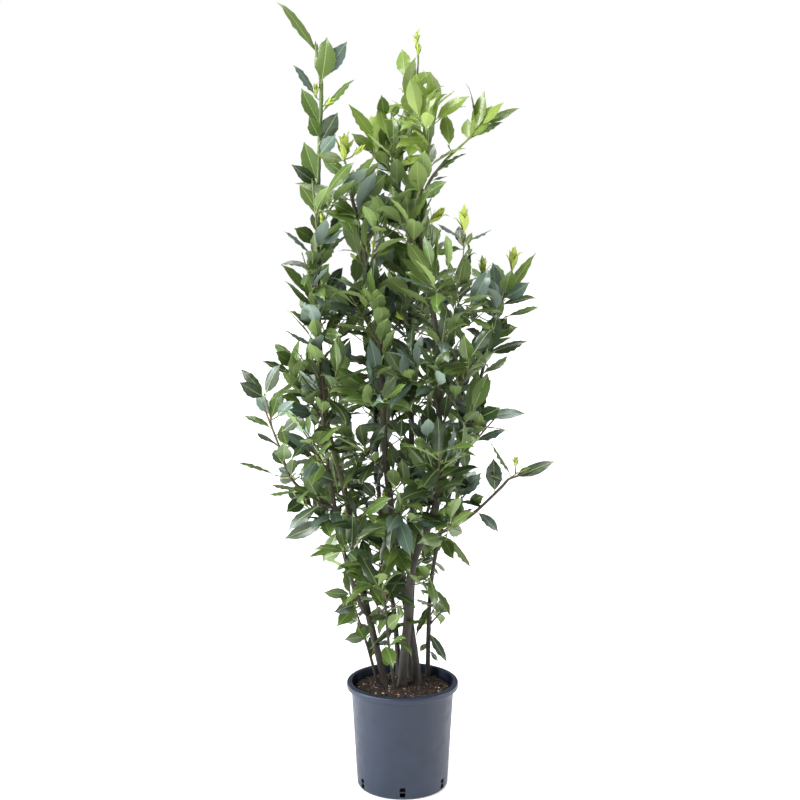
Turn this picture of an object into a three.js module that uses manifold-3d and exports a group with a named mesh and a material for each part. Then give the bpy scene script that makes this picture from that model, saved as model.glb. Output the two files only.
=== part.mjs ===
import * as THREE from 'three';
import { mergeVertices } from 'three/addons/utils/BufferGeometryUtils.js';
import Module from 'manifold-3d';

// A bay laurel with several stems in a round plastic pot. Millimetres, +Z up.
// The origin is the middle of the pot's flat underside, and the front faces -Y.
// Bearings are degrees in plan: 0 is right, 90 is back, 180 is left, 270 is front.

const wasm = await Module();
wasm.setup();

// Clearance left between neighbouring solids, and the distance at which corners are one
const GAP = 0.3;
const WELD = 1e-4;

// Pot
const POT_HEIGHT = 253;
const RIM_RADIUS = 130;
const LIP_HEIGHT = 15;
const NECK_RADIUS = 119.5;
const FOOT_RADIUS = 105.5;
const FOOT_ROUNDING = 8;
const FOOT_FACET = 2.4;
const WALL = 2.6;
const FLOOR = 3;
const EDGE_ROUNDING = 2.5;
const POT_SEGMENTS = 36;
const DRAIN_SLOTS = 6;
const SLOT_WIDTH = 13;
const SLOT_HEIGHT = 23;
const SLOT_SILL = 8;
const SLOT_CORNER = 3.2;

// Compost
const SOIL_TOP = 236;
const SOIL_EDGE = 228;
const SOIL_CROWN_RADIUS = 100;

// Limbs
const STEM_SIDES = 7;
const STEM_STEP = 95;
const HEIGHT_SEARCH = 1e-5;
const BOUGH_SIDES = 6;
const BOUGH_STEP = 60;
const TAPER = 0.8;
const FLARE = 0.4;
const FLARE_HEIGHT = 22;
const BURIED = 14;

// Twigs: the bearing of the first face, radii at root and tip, and how the side twigs stand
// along a mass's stem
const TWIG_SIDES = 3;
const FIRST_FACE = 30;
const MAIN_TWIG_RADII = [3.4, 2];
const SIDE_TWIG_RADII = [1.5, 1.3];
const SIDE_TWIG_ANGLE = 46;
const SIDE_TWIG_SPACING = 80;
const SIDE_TWIG_TOP = 0.8;
const SIDE_TWIG_OFFSET = 0.3;
const LONGEST_SIDE_TWIG = 0.71;
const SIDE_TWIG_TAPER = 0.37;
const GOLDEN_TURN = 137.5;

// Leaves
const LEAF_LENGTH = 103;
const LEAF_WIDTH = 44;
const LEAF_THICKNESS = 2.2;
const LEAF_WIDEST = 0.46;
const LEAF_THICKEST = 0.3;
const LEAF_FOLD = 0.16;
const LEAF_ARCH = 0.05;
const LEAF_DROOP = 0.08;
const LEAF_SIZES = [0.8, 1.16];
const LEAF_SPACING = 22;
const LEAF_TRIES = 5;
const STALK = 12;
const ROOT_DEPTH = 0.2;

// Where the lowest leaf stands: on a mass at a limb's tip, on one at its side, on a side twig
const LOWEST_ON_TIP = 0.12;
const LOWEST_ON_SIDE = 0.3;
const LOWEST_ON_TWIG = 0.25;
const HIGHEST_LEAF = 0.96;

// How a leaf stands: its angle to the twig at the twig's root, how much that closes by the
// tip, and how far it strays in opening, around the twig, and in roll about its own length
const OPENING = 60;
const OPENING_LOST = 26;
const STRAY_OPENING = 16;
const STRAY_AROUND = 30;
const STRAY_ROLL = 60;

// How far leaves may stand out from a mass's own stem, sideways, past its end and behind it
const SPREAD = 128;
const OVERREACH = 96;
const UNDERREACH = 12;

// Stems from the compost to the top: diameters at foot and tip, and the points they pass
const STEMS = {
  left: { girth: [17, 8], way: [[-40, 25], [-95, 25, 475], [-131, 15, 692], [-174, 8, 870],
    [-188, 2, 1080], [-187, 0, 1400]] },
  centre: { girth: [22, 9], way: [[-2, 5], [12, -4, 400], [24, -12, 535], [76, -26, 680],
    [82, -27, 860], [78, -22, 1050], [44, -20, 1240], [31, -20, 1350]] },
  crossing: { girth: [20, 8], way: [[36, 24], [22, 42, 345], [-12, 40, 550], [-40, 0, 800],
    [-52, -14, 1060], [-90, -15, 1275], [-114, -15, 1380]] },
  rear: { girth: [16, 8], way: [[14, 75], [23, 90, 500], [21, 80, 830], [15, 60, 1270],
    [17, 48, 1430]] },
  rear_left: { girth: [13, 7], way: [[-8, 78], [-18, 98, 370], [-50, 112, 600], [-68, 120, 920],
    [-76, 120, 990]] },
  right: { girth: [11, 6.5], way: [[60, 80], [69, 70, 480], [104, 50, 660], [158, 31, 880],
    [205, 30, 1070]] },
  sprout: { girth: [7, 6], way: [[-17, -16], [-30, -32, 335], [-40, -50, 460]] },
  sprig: { girth: [7, 6], way: [[-58, 20], [-78, 6, 320], [-94, -8, 380]] }
};

// Boughs: the limb and height that each grows from, and the points it passes
const BOUGHS = {
  left_fork: { from: 'left', height: 400, girth: [11, 6], way: [[-92, -2, 425], [-122, -17, 515],
    [-155, -32, 680], [-181, -36, 900], [-190, -34, 1120], [-184, -30, 1240]] },
  left_low: { from: 'left_fork', height: 670, girth: [8, 6], way: [[-205, -42, 700],
    [-252, -48, 745], [-276, -50, 815]] },
  right_low: { from: 'right', height: 590, girth: [8, 6], way: [[150, 20, 636], [223, -20, 716],
    [240, -28, 738]] },
  top_right: { from: 'centre', height: 1335, girth: [7.5, 6], way: [[58, -24, 1405],
    [95, -22, 1455]] },
  back_left: { from: 'rear_left', height: 500, girth: [8, 6], way: [[-82, 165, 620],
    [-122, 205, 740]] },
  back_right: { from: 'rear', height: 530, girth: [8, 6], way: [[72, 150, 660],
    [112, 190, 800]] }
};

// Masses that carry on from a limb's tip: bearing, rise, and length of their own stem
const TIP_MASSES = {
  left: [178, 88, 322],
  centre: [30, 80, 190],
  crossing: [175, 80, 120],
  rear: [10, 87, 225],
  rear_left: [160, 78, 180],
  right: [15, 78, 130],
  sprout: [250, 70, 100],
  sprig: [165, 70, 80],
  left_fork: [220, 84, 170],
  left_low: [185, 70, 105],
  right_low: [352, 22, 50],
  top_right: [0, 42, 85],
  back_left: [125, 60, 190],
  back_right: [50, 62, 190]
};

// Masses along the limbs: height on the limb, bearing, rise, and length of their own stem
const SIDE_MASSES = {
  left: [[590, 190, 36, 150], [720, 150, 48, 150], [860, 210, 52, 160], [1000, 20, 50, 130],
    [1120, 200, 74, 130], [1290, 330, 60, 110]],
  left_fork: [[540, 285, 40, 130], [750, 240, 48, 150]],
  centre: [[590, 330, 30, 130], [720, 270, 45, 150], [850, 352, 64, 220], [900, 225, 55, 140],
    [1000, 15, 72, 210], [1110, 300, 60, 130], [1225, 200, 62, 120]],
  crossing: [[600, 280, 40, 140], [740, 200, 45, 140], [880, 260, 52, 150], [1040, 190, 60, 130],
    [1200, 290, 64, 130]],
  rear: [[620, 60, 40, 170], [780, 120, 45, 180], [960, 80, 60, 230], [1150, 30, 60, 160],
    [1330, 195, 66, 170]],
  rear_left: [[620, 165, 40, 170], [800, 85, 50, 140]],
  right: [[360, 330, 50, 60], [630, 15, 45, 120], [770, 340, 50, 140]]
};
const FIRST_SEED = 9;
const SEED_STEP = 100;
const SEED_STRIDE = 7919;
const RANDOM_FACTOR = 16807;
const RANDOM_MODULUS = 2147483647;

// Colours
const POT_PAINT = { color: 0x5d687c, roughness: 0.42, metalness: 0 };
const SOIL_PAINT = { color: 0x4a3326, roughness: 0.95, metalness: 0 };
const STEM_PAINT = { color: 0x5c4a3d, roughness: 0.85, metalness: 0 };
const BOUGH_PAINT = { color: 0x6a5a3f, roughness: 0.8, metalness: 0 };
const LEAF_PAINT = { color: 0x3f6a2c, roughness: 0.45, metalness: 0 };

const UP = new THREE.Vector3(0, 0, 1);
const radians = THREE.MathUtils.degToRad;

function vector([x, y, z]) {
  return new THREE.Vector3(x, y, z);
}

function heading(bearing, rise) {
  const flat = Math.cos(radians(rise));
  return new THREE.Vector3(
    flat * Math.cos(radians(bearing)), flat * Math.sin(radians(bearing)), Math.sin(radians(rise)));
}

// Evenly spread numbers from 0 to 1, the same ones every time for one seed
function randomFrom(seed) {
  let state = (seed * SEED_STRIDE) % RANDOM_MODULUS;
  return () => {
    state = (state * RANDOM_FACTOR) % RANDOM_MODULUS;
    return state / RANDOM_MODULUS;
  };
}

function toSolid(geometry) {
  const bare = geometry.clone();
  bare.deleteAttribute('normal');
  bare.deleteAttribute('uv');
  const merged = mergeVertices(bare, WELD);
  return new wasm.Manifold(new wasm.Mesh({
    numProp: 3,
    vertProperties: new Float32Array(merged.attributes.position.array),
    triVerts: new Uint32Array(merged.index.array)
  }));
}

function toGeometry(solid) {
  const mesh = solid.getMesh();
  const geometry = new THREE.BufferGeometry();
  geometry.setAttribute('position', new THREE.BufferAttribute(new Float32Array(mesh.vertProperties), 3));
  geometry.setIndex(new THREE.BufferAttribute(new Uint32Array(mesh.triVerts), 1));
  geometry.computeVertexNormals();
  return geometry;
}

// A lathe turns about +Y, so its result is stood up along +Z
function lathe(outline) {
  const points = outline.map(([radius, height]) => new THREE.Vector2(radius, height));
  return toSolid(new THREE.LatheGeometry(points, POT_SEGMENTS).rotateX(Math.PI / 2));
}

function fuse(solids) {
  return solids.reduce((joined, solid) => joined.add(solid));
}

// The largest shell of a solid, without sealed hollows and loose scraps
function wholePiece(solid) {
  const shells = solid.decompose();
  return shells.reduce((best, shell) => (shell.volume() > best.volume() ? shell : best));
}

// Pot

function potRadius(height) {
  return FOOT_RADIUS + (NECK_RADIUS - FOOT_RADIUS) * height / (POT_HEIGHT - LIP_HEIGHT);
}

function drainSlot(index) {
  const half = SLOT_WIDTH / 2;
  const straight = half - SLOT_CORNER;
  const shape = new THREE.Shape()
    .moveTo(-straight, 0).lineTo(straight, 0).lineTo(half, SLOT_CORNER)
    .lineTo(half, SLOT_HEIGHT - SLOT_CORNER).lineTo(straight, SLOT_HEIGHT)
    .lineTo(-straight, SLOT_HEIGHT).lineTo(-half, SLOT_HEIGHT - SLOT_CORNER).lineTo(-half, SLOT_CORNER);
  const depth = 4 * WALL + FOOT_ROUNDING;
  return toSolid(new THREE.ExtrudeGeometry(shape, { depth, bevelEnabled: false })
    .rotateX(Math.PI / 2)
    .translate(0, depth / 2 - FOOT_RADIUS, SLOT_SILL)
    .rotateZ(index * 2 * Math.PI / DRAIN_SLOTS));
}

function makePot() {
  const lipBase = POT_HEIGHT - LIP_HEIGHT;
  const outline = [
    [0, 0],
    [FOOT_RADIUS - FOOT_ROUNDING, 0],
    [FOOT_RADIUS - FOOT_FACET, FOOT_FACET],
    [potRadius(FOOT_ROUNDING), FOOT_ROUNDING],
    [NECK_RADIUS, lipBase],
    [RIM_RADIUS - EDGE_ROUNDING, lipBase],
    [RIM_RADIUS, lipBase + EDGE_ROUNDING],
    [RIM_RADIUS, POT_HEIGHT - EDGE_ROUNDING],
    [RIM_RADIUS - EDGE_ROUNDING, POT_HEIGHT],
    [NECK_RADIUS - WALL + EDGE_ROUNDING, POT_HEIGHT],
    [NECK_RADIUS - WALL, POT_HEIGHT - EDGE_ROUNDING],
    [NECK_RADIUS - WALL, lipBase],
    [potRadius(FLOOR) - WALL, FLOOR],
    [0, FLOOR]
  ];
  let pot = lathe(outline);
  for (let index = 0; index < DRAIN_SLOTS; index += 1) {
    pot = pot.subtract(drainSlot(index));
  }
  return pot;
}

function makeSoil() {
  const clear = WALL + 2 * GAP;
  return lathe([
    [0, FLOOR + GAP],
    [potRadius(FLOOR + GAP) - clear, FLOOR + GAP],
    [potRadius(SOIL_EDGE) - clear, SOIL_EDGE],
    [SOIL_CROWN_RADIUS, SOIL_TOP],
    [0, SOIL_TOP]
  ]);
}

// Limbs

// Moves the rings of a standing cylinder onto a curve, each with its own radius. overrun
// carries the last one past the curve's end.
function limbAlong({ curve, radiusAt, sides, steps, frames, overrun = 0 }) {
  const { normals, binormals } = frames ?? curve.computeFrenetFrames(steps);
  const geometry = new THREE.CylinderGeometry(1, 1, 1, sides, steps);
  const position = geometry.attributes.position;
  const spot = new THREE.Vector3();
  for (let index = 0; index < position.count; index += 1) {
    const step = Math.round((position.getY(index) + 0.5) * steps);
    const radius = radiusAt(step / steps);
    spot.copy(curve.getPointAt(step / steps))
      .addScaledVector(normals[step], position.getX(index) * radius)
      .addScaledVector(binormals[step], -position.getZ(index) * radius);
    if (step === steps) {
      spot.addScaledVector(curve.getTangentAt(1), overrun);
    }
    position.setXYZ(index, spot.x, spot.y, spot.z);
  }
  return toSolid(geometry);
}

function limbPair(curve, [footGirth, tipGirth], flare, sides, steps) {
  const length = curve.getLength();
  const radiusAt = (share) => tipGirth / 2 + (footGirth - tipGirth) / 2 * (1 - share) ** TAPER
    + flare * footGirth / 2 * Math.exp(-share * length / FLARE_HEIGHT);
  return {
    curve,
    solid: limbAlong({ curve, radiusAt, sides, steps }),
    sleeve: limbAlong({ curve, radiusAt: (share) => radiusAt(share) + GAP, sides, steps, overrun: GAP })
  };
}

// The share of a rising curve's length at which it reaches a height
function shareAt(curve, height) {
  let [low, high] = [0, 1];
  while (high - low > HEIGHT_SEARCH) {
    const middle = (low + high) / 2;
    [low, high] = curve.getPointAt(middle).z < height ? [middle, high] : [low, middle];
  }
  return low;
}

function makeStem({ girth, way }) {
  const [foot, ...rest] = way;
  const above = vector(rest[0]).sub(vector([...foot, SOIL_TOP])).setLength(BURIED);
  const curve = new THREE.CatmullRomCurve3([
    vector([...foot, SOIL_TOP]).sub(above), vector([...foot, SOIL_TOP]), ...rest.map(vector)]);
  const steps = Math.round(curve.getLength() / STEM_STEP) + 2;
  const stem = limbPair(curve, girth, FLARE, STEM_SIDES, steps);
  const ground = toSolid(new THREE.BoxGeometry(2 * RIM_RADIUS, 2 * RIM_RADIUS, 2 * BURIED)
    .translate(0, 0, SOIL_TOP + GAP - BURIED));
  return { ...stem, solid: stem.solid.subtract(ground) };
}

function makeBough({ from, height, girth, way }, limbs) {
  const parent = limbs[from];
  const root = parent.curve.getPointAt(shareAt(parent.curve, height));
  const curve = new THREE.CatmullRomCurve3([root, ...way.map(vector)]);
  const steps = Math.max(3, Math.round(curve.getLength() / BOUGH_STEP));
  const bough = limbPair(curve, girth, 0, BOUGH_SIDES, steps);
  return { ...bough, solid: wholePiece(bough.solid.subtract(parent.sleeve)) };
}

// Foliage

// A leaf is an octahedron drawn out into a folded, arching blade. Its root point is at the
// spot, it runs along the axis and its upper side faces the given way. extra widens it all
// round, to test for a clear space.
function leafSolid({ spot, axis, upper, length }, extra = 0) {
  const across = new THREE.Vector3().crossVectors(axis, upper);
  const geometry = new THREE.OctahedronGeometry(1);
  const position = geometry.attributes.position;
  const width = length * LEAF_WIDTH / LEAF_LENGTH;
  const point = new THREE.Vector3();
  for (let index = 0; index < position.count; index += 1) {
    const side = position.getX(index);
    const run = position.getY(index);
    const layer = position.getZ(index);
    const middle = 1 - Math.abs(run);
    const along = Math.max(run, 0) * (length + extra)
      + (Math.abs(side) * LEAF_WIDEST + Math.abs(layer) * LEAF_THICKEST) * length;
    const sideways = side * (width / 2 + extra);
    const lift = layer * (LEAF_THICKNESS / 2 + extra) + Math.abs(side) * LEAF_FOLD * width / 2
      + middle * LEAF_ARCH * length - Math.max(run, 0) * LEAF_DROOP * length;
    point.copy(spot).addScaledVector(axis, along).addScaledVector(across, sideways)
      .addScaledVector(upper, lift);
    position.setXYZ(index, point.x, point.y, point.z);
  }
  return toSolid(geometry);
}

// A straight three-sided twig with its radii at root and tip. Its seed sets the way its faces
// look and how its leaves stray.
function makeTwig(root, direction, length, radii, seed) {
  const end = root.clone().addScaledVector(direction, length);
  const random = randomFrom(seed);
  return { curve: new THREE.LineCurve3(root, end), radii, turn: 360 * random(), random };
}

// Across a twig: level, upwards, and along it
function twigFrame({ curve }) {
  const tangent = curve.getTangent();
  const level = new THREE.Vector3().crossVectors(tangent, UP).normalize();
  const upward = new THREE.Vector3().crossVectors(level, tangent);
  return { tangent, level, upward };
}

// A direction square to a twig, turned about it from the level towards the upward side
function outward({ level, upward }, degrees) {
  return level.clone().multiplyScalar(Math.cos(radians(degrees)))
    .addScaledVector(upward, Math.sin(radians(degrees)));
}

function twigRadius({ radii: [root, tip] }, share) {
  return root + (tip - root) * share;
}

function twigSolid(twig, extra = 0) {
  const frame = twigFrame(twig);
  const normal = outward(frame, twig.turn);
  const binormal = outward(frame, twig.turn - 90);
  return limbAlong({
    curve: twig.curve,
    radiusAt: (share) => twigRadius(twig, share) + extra,
    sides: TWIG_SIDES,
    steps: 1,
    frames: { normals: [normal, normal], binormals: [binormal, binormal] }
  });
}

function stray(random, range) {
  return range * (random() - 0.5);
}

// One leaf's attitude: it stands out of a face of its twig, at an angle that closes
// towards the twig's tip, with its upper side to the twig's tip and the sky
function leafPose(twig, share, face) {
  const { random, turn, curve } = twig;
  const frame = twigFrame(twig);
  const around = turn + FIRST_FACE + 360 / TWIG_SIDES * face + stray(random, STRAY_AROUND);
  const open = radians(OPENING - OPENING_LOST * share ** 2 + stray(random, STRAY_OPENING));
  const side = outward(frame, around);
  const axis = frame.tangent.clone().multiplyScalar(Math.cos(open)).addScaledVector(side, Math.sin(open));
  const upper = frame.tangent.clone().add(UP);
  upper.addScaledVector(axis, -upper.dot(axis)).normalize();
  upper.applyAxisAngle(axis, radians(stray(random, STRAY_ROLL)));
  const [shortest, longest] = LEAF_SIZES;
  const length = LEAF_LENGTH * (shortest + (longest - shortest) * random());
  const spot = curve.getPoint(share).addScaledVector(side, -ROOT_DEPTH * twigRadius(twig, share));
  return { spot, axis, upper, length };
}

function asNeighbour(solid) {
  return { solid, box: solid.boundingBox() };
}

function boxesMeet(a, b) {
  return [0, 1, 2].every((axis) => a.min[axis] <= b.max[axis] && b.min[axis] <= a.max[axis]);
}

function isClear(solid, others) {
  const box = solid.boundingBox();
  return others.every((other) => {
    if (!boxesMeet(box, other.box)) {
      return true;
    }
    const shared = solid.intersect(other.solid);
    const clear = shared.isEmpty();
    shared.delete();
    return clear;
  });
}

// The room a mass keeps to: an egg round its own stem
function makeRoom({ curve }) {
  const direction = curve.getTangent();
  const half = (UNDERREACH + curve.getLength() + OVERREACH) / 2;
  const middle = curve.v1.clone().addScaledVector(direction, half - UNDERREACH);
  return (spot) => {
    const offset = spot.clone().sub(middle);
    const lengthwise = offset.dot(direction);
    const sideways = offset.addScaledVector(direction, -lengthwise).length();
    return (lengthwise / half) ** 2 + (sideways / SPREAD) ** 2 < 1;
  };
}

// Leaves up one twig, from face to face round it. Each is tried a few ways, and is left out
// where it would leave the room, touch a neighbour, or lie across a twig past its own stalk.
function leavesOn(twig, lowest, room, others, twigs) {
  const leaves = [];
  const count = Math.max(2, Math.round(twig.curve.getLength() * (1 - lowest) / LEAF_SPACING));
  for (let index = 0; index <= count; index += 1) {
    const share = lowest + (HIGHEST_LEAF - lowest) * index / count;
    const tries = Array.from({ length: LEAF_TRIES }, (_, attempt) => leafPose(twig, share, index + attempt));
    const pose = tries.find(({ spot, axis, upper, length }) => {
      const tip = spot.clone().addScaledVector(axis, length);
      const blade = { spot: spot.clone().addScaledVector(axis, STALK), axis, upper, length: length - STALK };
      return room(tip) && isClear(leafSolid(blade), twigs)
        && isClear(leafSolid({ spot, axis, upper, length }, GAP), [...others, ...leaves]);
    });
    if (pose) {
      leaves.push(asNeighbour(leafSolid(pose)));
    }
  }
  return leaves;
}

// Side twigs set round a mass's stem by the golden turn, shorter towards its tip
function sideTwigs(stem, lowest, seed) {
  const reach = stem.curve.getLength();
  const count = Math.round(reach / SIDE_TWIG_SPACING);
  const frame = twigFrame(stem);
  return Array.from({ length: count }, (_, index) => {
    const share = lowest + (SIDE_TWIG_TOP - lowest) * (index + SIDE_TWIG_OFFSET) / count;
    const side = outward(frame, stem.turn + index * GOLDEN_TURN);
    const direction = frame.tangent.clone().multiplyScalar(Math.cos(radians(SIDE_TWIG_ANGLE)))
      .addScaledVector(side, Math.sin(radians(SIDE_TWIG_ANGLE)));
    const length = reach * (LONGEST_SIDE_TWIG - SIDE_TWIG_TAPER * share);
    return makeTwig(stem.curve.getPoint(share), direction, length, SIDE_TWIG_RADII, seed + index + 1);
  });
}

// The bare twigs of one mass: its own stem, and the side twigs that have room
function sproutMass({ parent, at, bearing, rise, reach, seed }, taken) {
  const stem = makeTwig(parent.curve.getPointAt(at), heading(bearing, rise), reach, MAIN_TWIG_RADII, seed);
  const lowest = at === 1 ? LOWEST_ON_TIP : LOWEST_ON_SIDE;
  const room = makeRoom(stem);
  const sides = sideTwigs(stem, lowest, seed).filter((twig) =>
    room(twig.curve.v2) && isClear(twigSolid(twig, GAP), taken));
  const twigs = [stem, ...sides].map((twig) => asNeighbour(twigSolid(twig)));
  return { parent, stem, sides, twigs, lowest, room };
}

// Puts a mass's leaves on and fuses it, cut clear of the limb it grows from
function leafMass({ parent, stem, sides, twigs, lowest, room }, taken) {
  const others = taken.filter((neighbour) => !twigs.includes(neighbour));
  const leaves = leavesOn(stem, lowest, room, others, twigs);
  for (const twig of sides) {
    leaves.push(...leavesOn(twig, LOWEST_ON_TWIG, room, [...others, ...leaves], twigs));
  }
  taken.push(...leaves);
  const mass = fuse([...twigs, ...leaves].map(({ solid }) => solid));
  return wholePiece(mass.subtract(parent.sleeve));
}

// Assembly

const plant = new THREE.Group();

function addNode(name, solid, paint) {
  const mesh = new THREE.Mesh(toGeometry(solid), new THREE.MeshStandardMaterial(paint));
  mesh.name = name;
  plant.add(mesh);
}

addNode('pot', makePot(), POT_PAINT);
addNode('soil', makeSoil(), SOIL_PAINT);

const limbs = {};
for (const [name, stem] of Object.entries(STEMS)) {
  limbs[name] = makeStem(stem);
  addNode(`stem_${name}`, limbs[name].solid, STEM_PAINT);
}
for (const [name, bough] of Object.entries(BOUGHS)) {
  limbs[name] = makeBough(bough, limbs);
  addNode(`bough_${name}`, limbs[name].solid, BOUGH_PAINT);
}

const places = [];
for (const [limb, [bearing, rise, reach]] of Object.entries(TIP_MASSES)) {
  places.push({ name: `${limb}_tip`, parent: limbs[limb], at: 1, bearing, rise, reach });
}
for (const [limb, rows] of Object.entries(SIDE_MASSES)) {
  rows.forEach(([height, bearing, rise, reach], index) => {
    const at = shareAt(limbs[limb].curve, height);
    places.push({ name: `${limb}_${index + 1}`, parent: limbs[limb], at, bearing, rise, reach });
  });
}

// All the twigs come first, so that every leaf can keep clear of them
const taken = Object.values(limbs).map(({ solid }) => asNeighbour(solid));
const masses = places.map((place, index) => {
  const mass = sproutMass({ ...place, seed: FIRST_SEED + SEED_STEP * index }, taken);
  taken.push(...mass.twigs);
  return mass;
});
masses.forEach((mass, index) => {
  addNode(`foliage_${places[index].name}`, leafMass(mass, taken), LEAF_PAINT);
});

export default plant;
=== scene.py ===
# A bay laurel bush of several stems in a round nursery pot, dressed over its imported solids.
# Sizes are in millimetres until a mesh is made. The front faces -Y and +Z is up. Bearings are
# degrees in plan: 0 is right, 90 is back, 180 is left, 270 is front. Turns are degrees too, and
# a share is a part of a length, from root to tip.
import math

import bpy
import numpy as np
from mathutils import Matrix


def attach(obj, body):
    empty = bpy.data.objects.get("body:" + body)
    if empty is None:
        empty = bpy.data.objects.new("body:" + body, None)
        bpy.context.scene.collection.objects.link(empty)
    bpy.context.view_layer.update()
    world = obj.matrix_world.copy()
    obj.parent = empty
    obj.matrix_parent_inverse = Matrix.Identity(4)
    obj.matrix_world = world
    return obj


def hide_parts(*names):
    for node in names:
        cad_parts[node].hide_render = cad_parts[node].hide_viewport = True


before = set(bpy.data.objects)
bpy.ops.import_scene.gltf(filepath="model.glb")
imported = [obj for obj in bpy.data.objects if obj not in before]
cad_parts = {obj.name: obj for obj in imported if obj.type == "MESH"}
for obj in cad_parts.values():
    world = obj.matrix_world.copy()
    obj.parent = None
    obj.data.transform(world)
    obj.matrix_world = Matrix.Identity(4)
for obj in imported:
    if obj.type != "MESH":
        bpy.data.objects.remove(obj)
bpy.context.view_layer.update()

MM = 0.001

# Pot, as the solid has it, and the roundings that show only close up
POT_HEIGHT = 253
RIM_RADIUS = 130
LIP_HEIGHT = 15
NECK_RADIUS = 119.5
FOOT_RADIUS = 105.5
FOOT_ROUNDING = 8
WALL = 2.6
FLOOR = 3
ROLL_RADIUS = 4.6
INNER_ROLL = 2
LIP_CORNER = 3
NECK_FILLET = 2.4
INNER_CORNER = 4
UNDERSIDE_RING = 60
WALL_STEP = 12
WALL_MARGIN = 4
ROUND_STEPS = 8
CORNER_STEPS = 4
LIP_STEPS = 5
DRAIN_SLOTS = 6
FRONT = -90
SLOT_WIDTH = 13
SLOT_HEIGHT = 23
SLOT_SILL = 8
SLOT_CORNER = 2.6
SLOT_BAR = 2.4
BAR_OVERLAP = 1
BAR_DEPTHS = (0.4, 1.0)
CUTTER_REACH = 20
POT_SEGMENTS = 192
POT_CREASE = 32

# Compost
SOIL_TOP = 236
SOIL_EDGE = 228
SOIL_CROWN_RADIUS = 100
SOIL_SLOPE = 1.3
SOIL_CLEAR = 0.9
PLUG_FOOT = 8
PLUG_TOP = 224
PLUG_INNER_RING = 0.6
SLOT_SHADE = 14
SLOT_SHADE_ABOVE = 12
SOIL_LEVELS = 32
SOIL_RINGS = 64
SOIL_SEGMENTS = 200
SOIL_BUMPS = ((34, 1, 2.2), (9, 2, 1.6), (4, 3, 1.0))
BED_RINGS = 24
BED_SEGMENTS = 72
BED_RADII = (4, 5)

# Chips on the compost: light and dark colour, roughness, length, width and thickness, number to a
# square metre, and scales
CHIPS = {
    "bark_chips_dark": ("Dark composted bark chips", "3b2d24", "1d1611", 0.85, (11, 6, 3), 22000,
                        (0.5, 1.4)),
    "bark_chips_tan": ("Tan bark and coir chips", "b08e6c", "70543f", 0.8, (7, 3.5, 2), 9000,
                       (0.4, 1.2)),
    "bark_chips_red": ("Reddish bark chips", "6a483b", "3c2922", 0.8, (8, 5, 2.4), 8000,
                       (0.5, 1.3)),
    "grit": ("Pale grit and perlite", "cfc6b6", "9c9384", 0.8, (4, 3.4, 2.8), 1500, (0.6, 1.5)),
}

# How a chip's rings swell, drift and vary, and how chips are turned, in radians
CHIP_SWELL = (0.35, 0.85, 1, 0.95, 0.8, 0.3)
CHIP_DRIFT = 0.1
CHIP_BREAKS = (0.75, 1.2)
CHIP_TURNS = ((-0.5, -0.5, 0), (0.5, 0.5, 6.283))
CHIP_SIDES = 7
CHIP_CREASE = 35

# Limbs, and a direction that none of them takes, for a tube's first ring
NO_LIMBS_WAY = (0.31, 0.87, 0.12)
STEM_SIDES = 24
BOUGH_SIDES = 16
RING_STEP = 4.5
TAPER = 0.8
FLARE = 0.4
FLARE_HEIGHT = 22
BURIED = 14
SUNK = 5

# Relief of the bark: the depth of ridges, lumps, leaf scars and buttresses as shares of the
# radius, and the size, spacing or number of each. Scars swell all round, and more on one side.
# Noise is read slowly along a limb, so that ridges are long, and faster again for lumps.
RIDGES = (0.05, 4.2)
LUMPS = (0.06, 26)
SCARS = (0.075, 38)
SCAR_WIDTH = 4.5
SCAR_DRIFT = (0.6, 61)
BUTTRESSES = (0.16, 4)
SCAR_SWELL = (0.6, 0.8)
RIDGES_ALONG = 0.2
LUMPS_ALONG = 4
BARK_APART = 50

# Bark from low to high on the bush: heights where the colours start and end, the pale marks,
# and the colours
BARKS = {
    "stem": ("Laurel stem bark", 240, 1450, "606060",
             [(0.0, "27221a"), (0.25, "2b281c"), (0.5, "31311f"), (0.8, "373623"),
              (1.0, "404426")]),
    "leader": ("Green laurel leader bark", 240, 1450, "454545",
               [(0.0, "27221a"), (0.25, "37321f"), (0.46, "5e5c36"), (0.62, "56482f"),
                (0.75, "4a3d2b"), (0.88, "4a4c2c"), (1.0, "4f6431")]),
    "bough": ("Young laurel bough bark", 400, 1460, "404040",
              [(0.0, "3d352a"), (0.4, "3e3328"), (0.75, "40342a"), (1.0, "4c4a2e")]),
    "twig": ("Laurel twigs", 500, 1500, "303030",
             [(0.0, "4d3f30"), (0.5, "5c5236"), (1.0, "6b7a3c")]),
}

# Twigs: radii at root and tip, and how they branch. A mass's stem is thick where it carries on
# from a limb's tip, most of all on the leader, and thin where it stands on a limb's side.
TIP_STEM_SHARE = 0.96
TIP_STEM_END = 2.0
SIDE_STEM_RADII = (2.7, 1.4)
LEADER_SHARE = 1.25
LEADER_END = 4.6
SIDE_TWIG_RADII = (1.7, 1.0)
SPUR_RADII = (1.5, 1.1)
SIDE_TWIG_ANGLE = 46
SIDE_TWIG_SPACING = 80
SIDE_TWIG_TOP = 0.8
SIDE_TWIG_OFFSET = 0.3
LONGEST_SIDE_TWIG = 0.71
SIDE_TWIG_TAPER = 0.37
SIDE_TWIG_BOW = 0.07
GOLDEN_TURN = 137.5
SPUR_ANGLE = 42
STRAY_SPUR = 16
SPUR_SPACING = 60
SPUR_LENGTHS = (24, 70)
SPUR_STRETCH = (0.35, 0.9)
SPUR_TURN = 70
SPUR_BOW = 0.04
SPURS_APART = 12
STALK_RADII = (1.8, 1.3)
STALK_BOW = 0.1
SEEN_SPUR_BOW = 0.06

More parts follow.
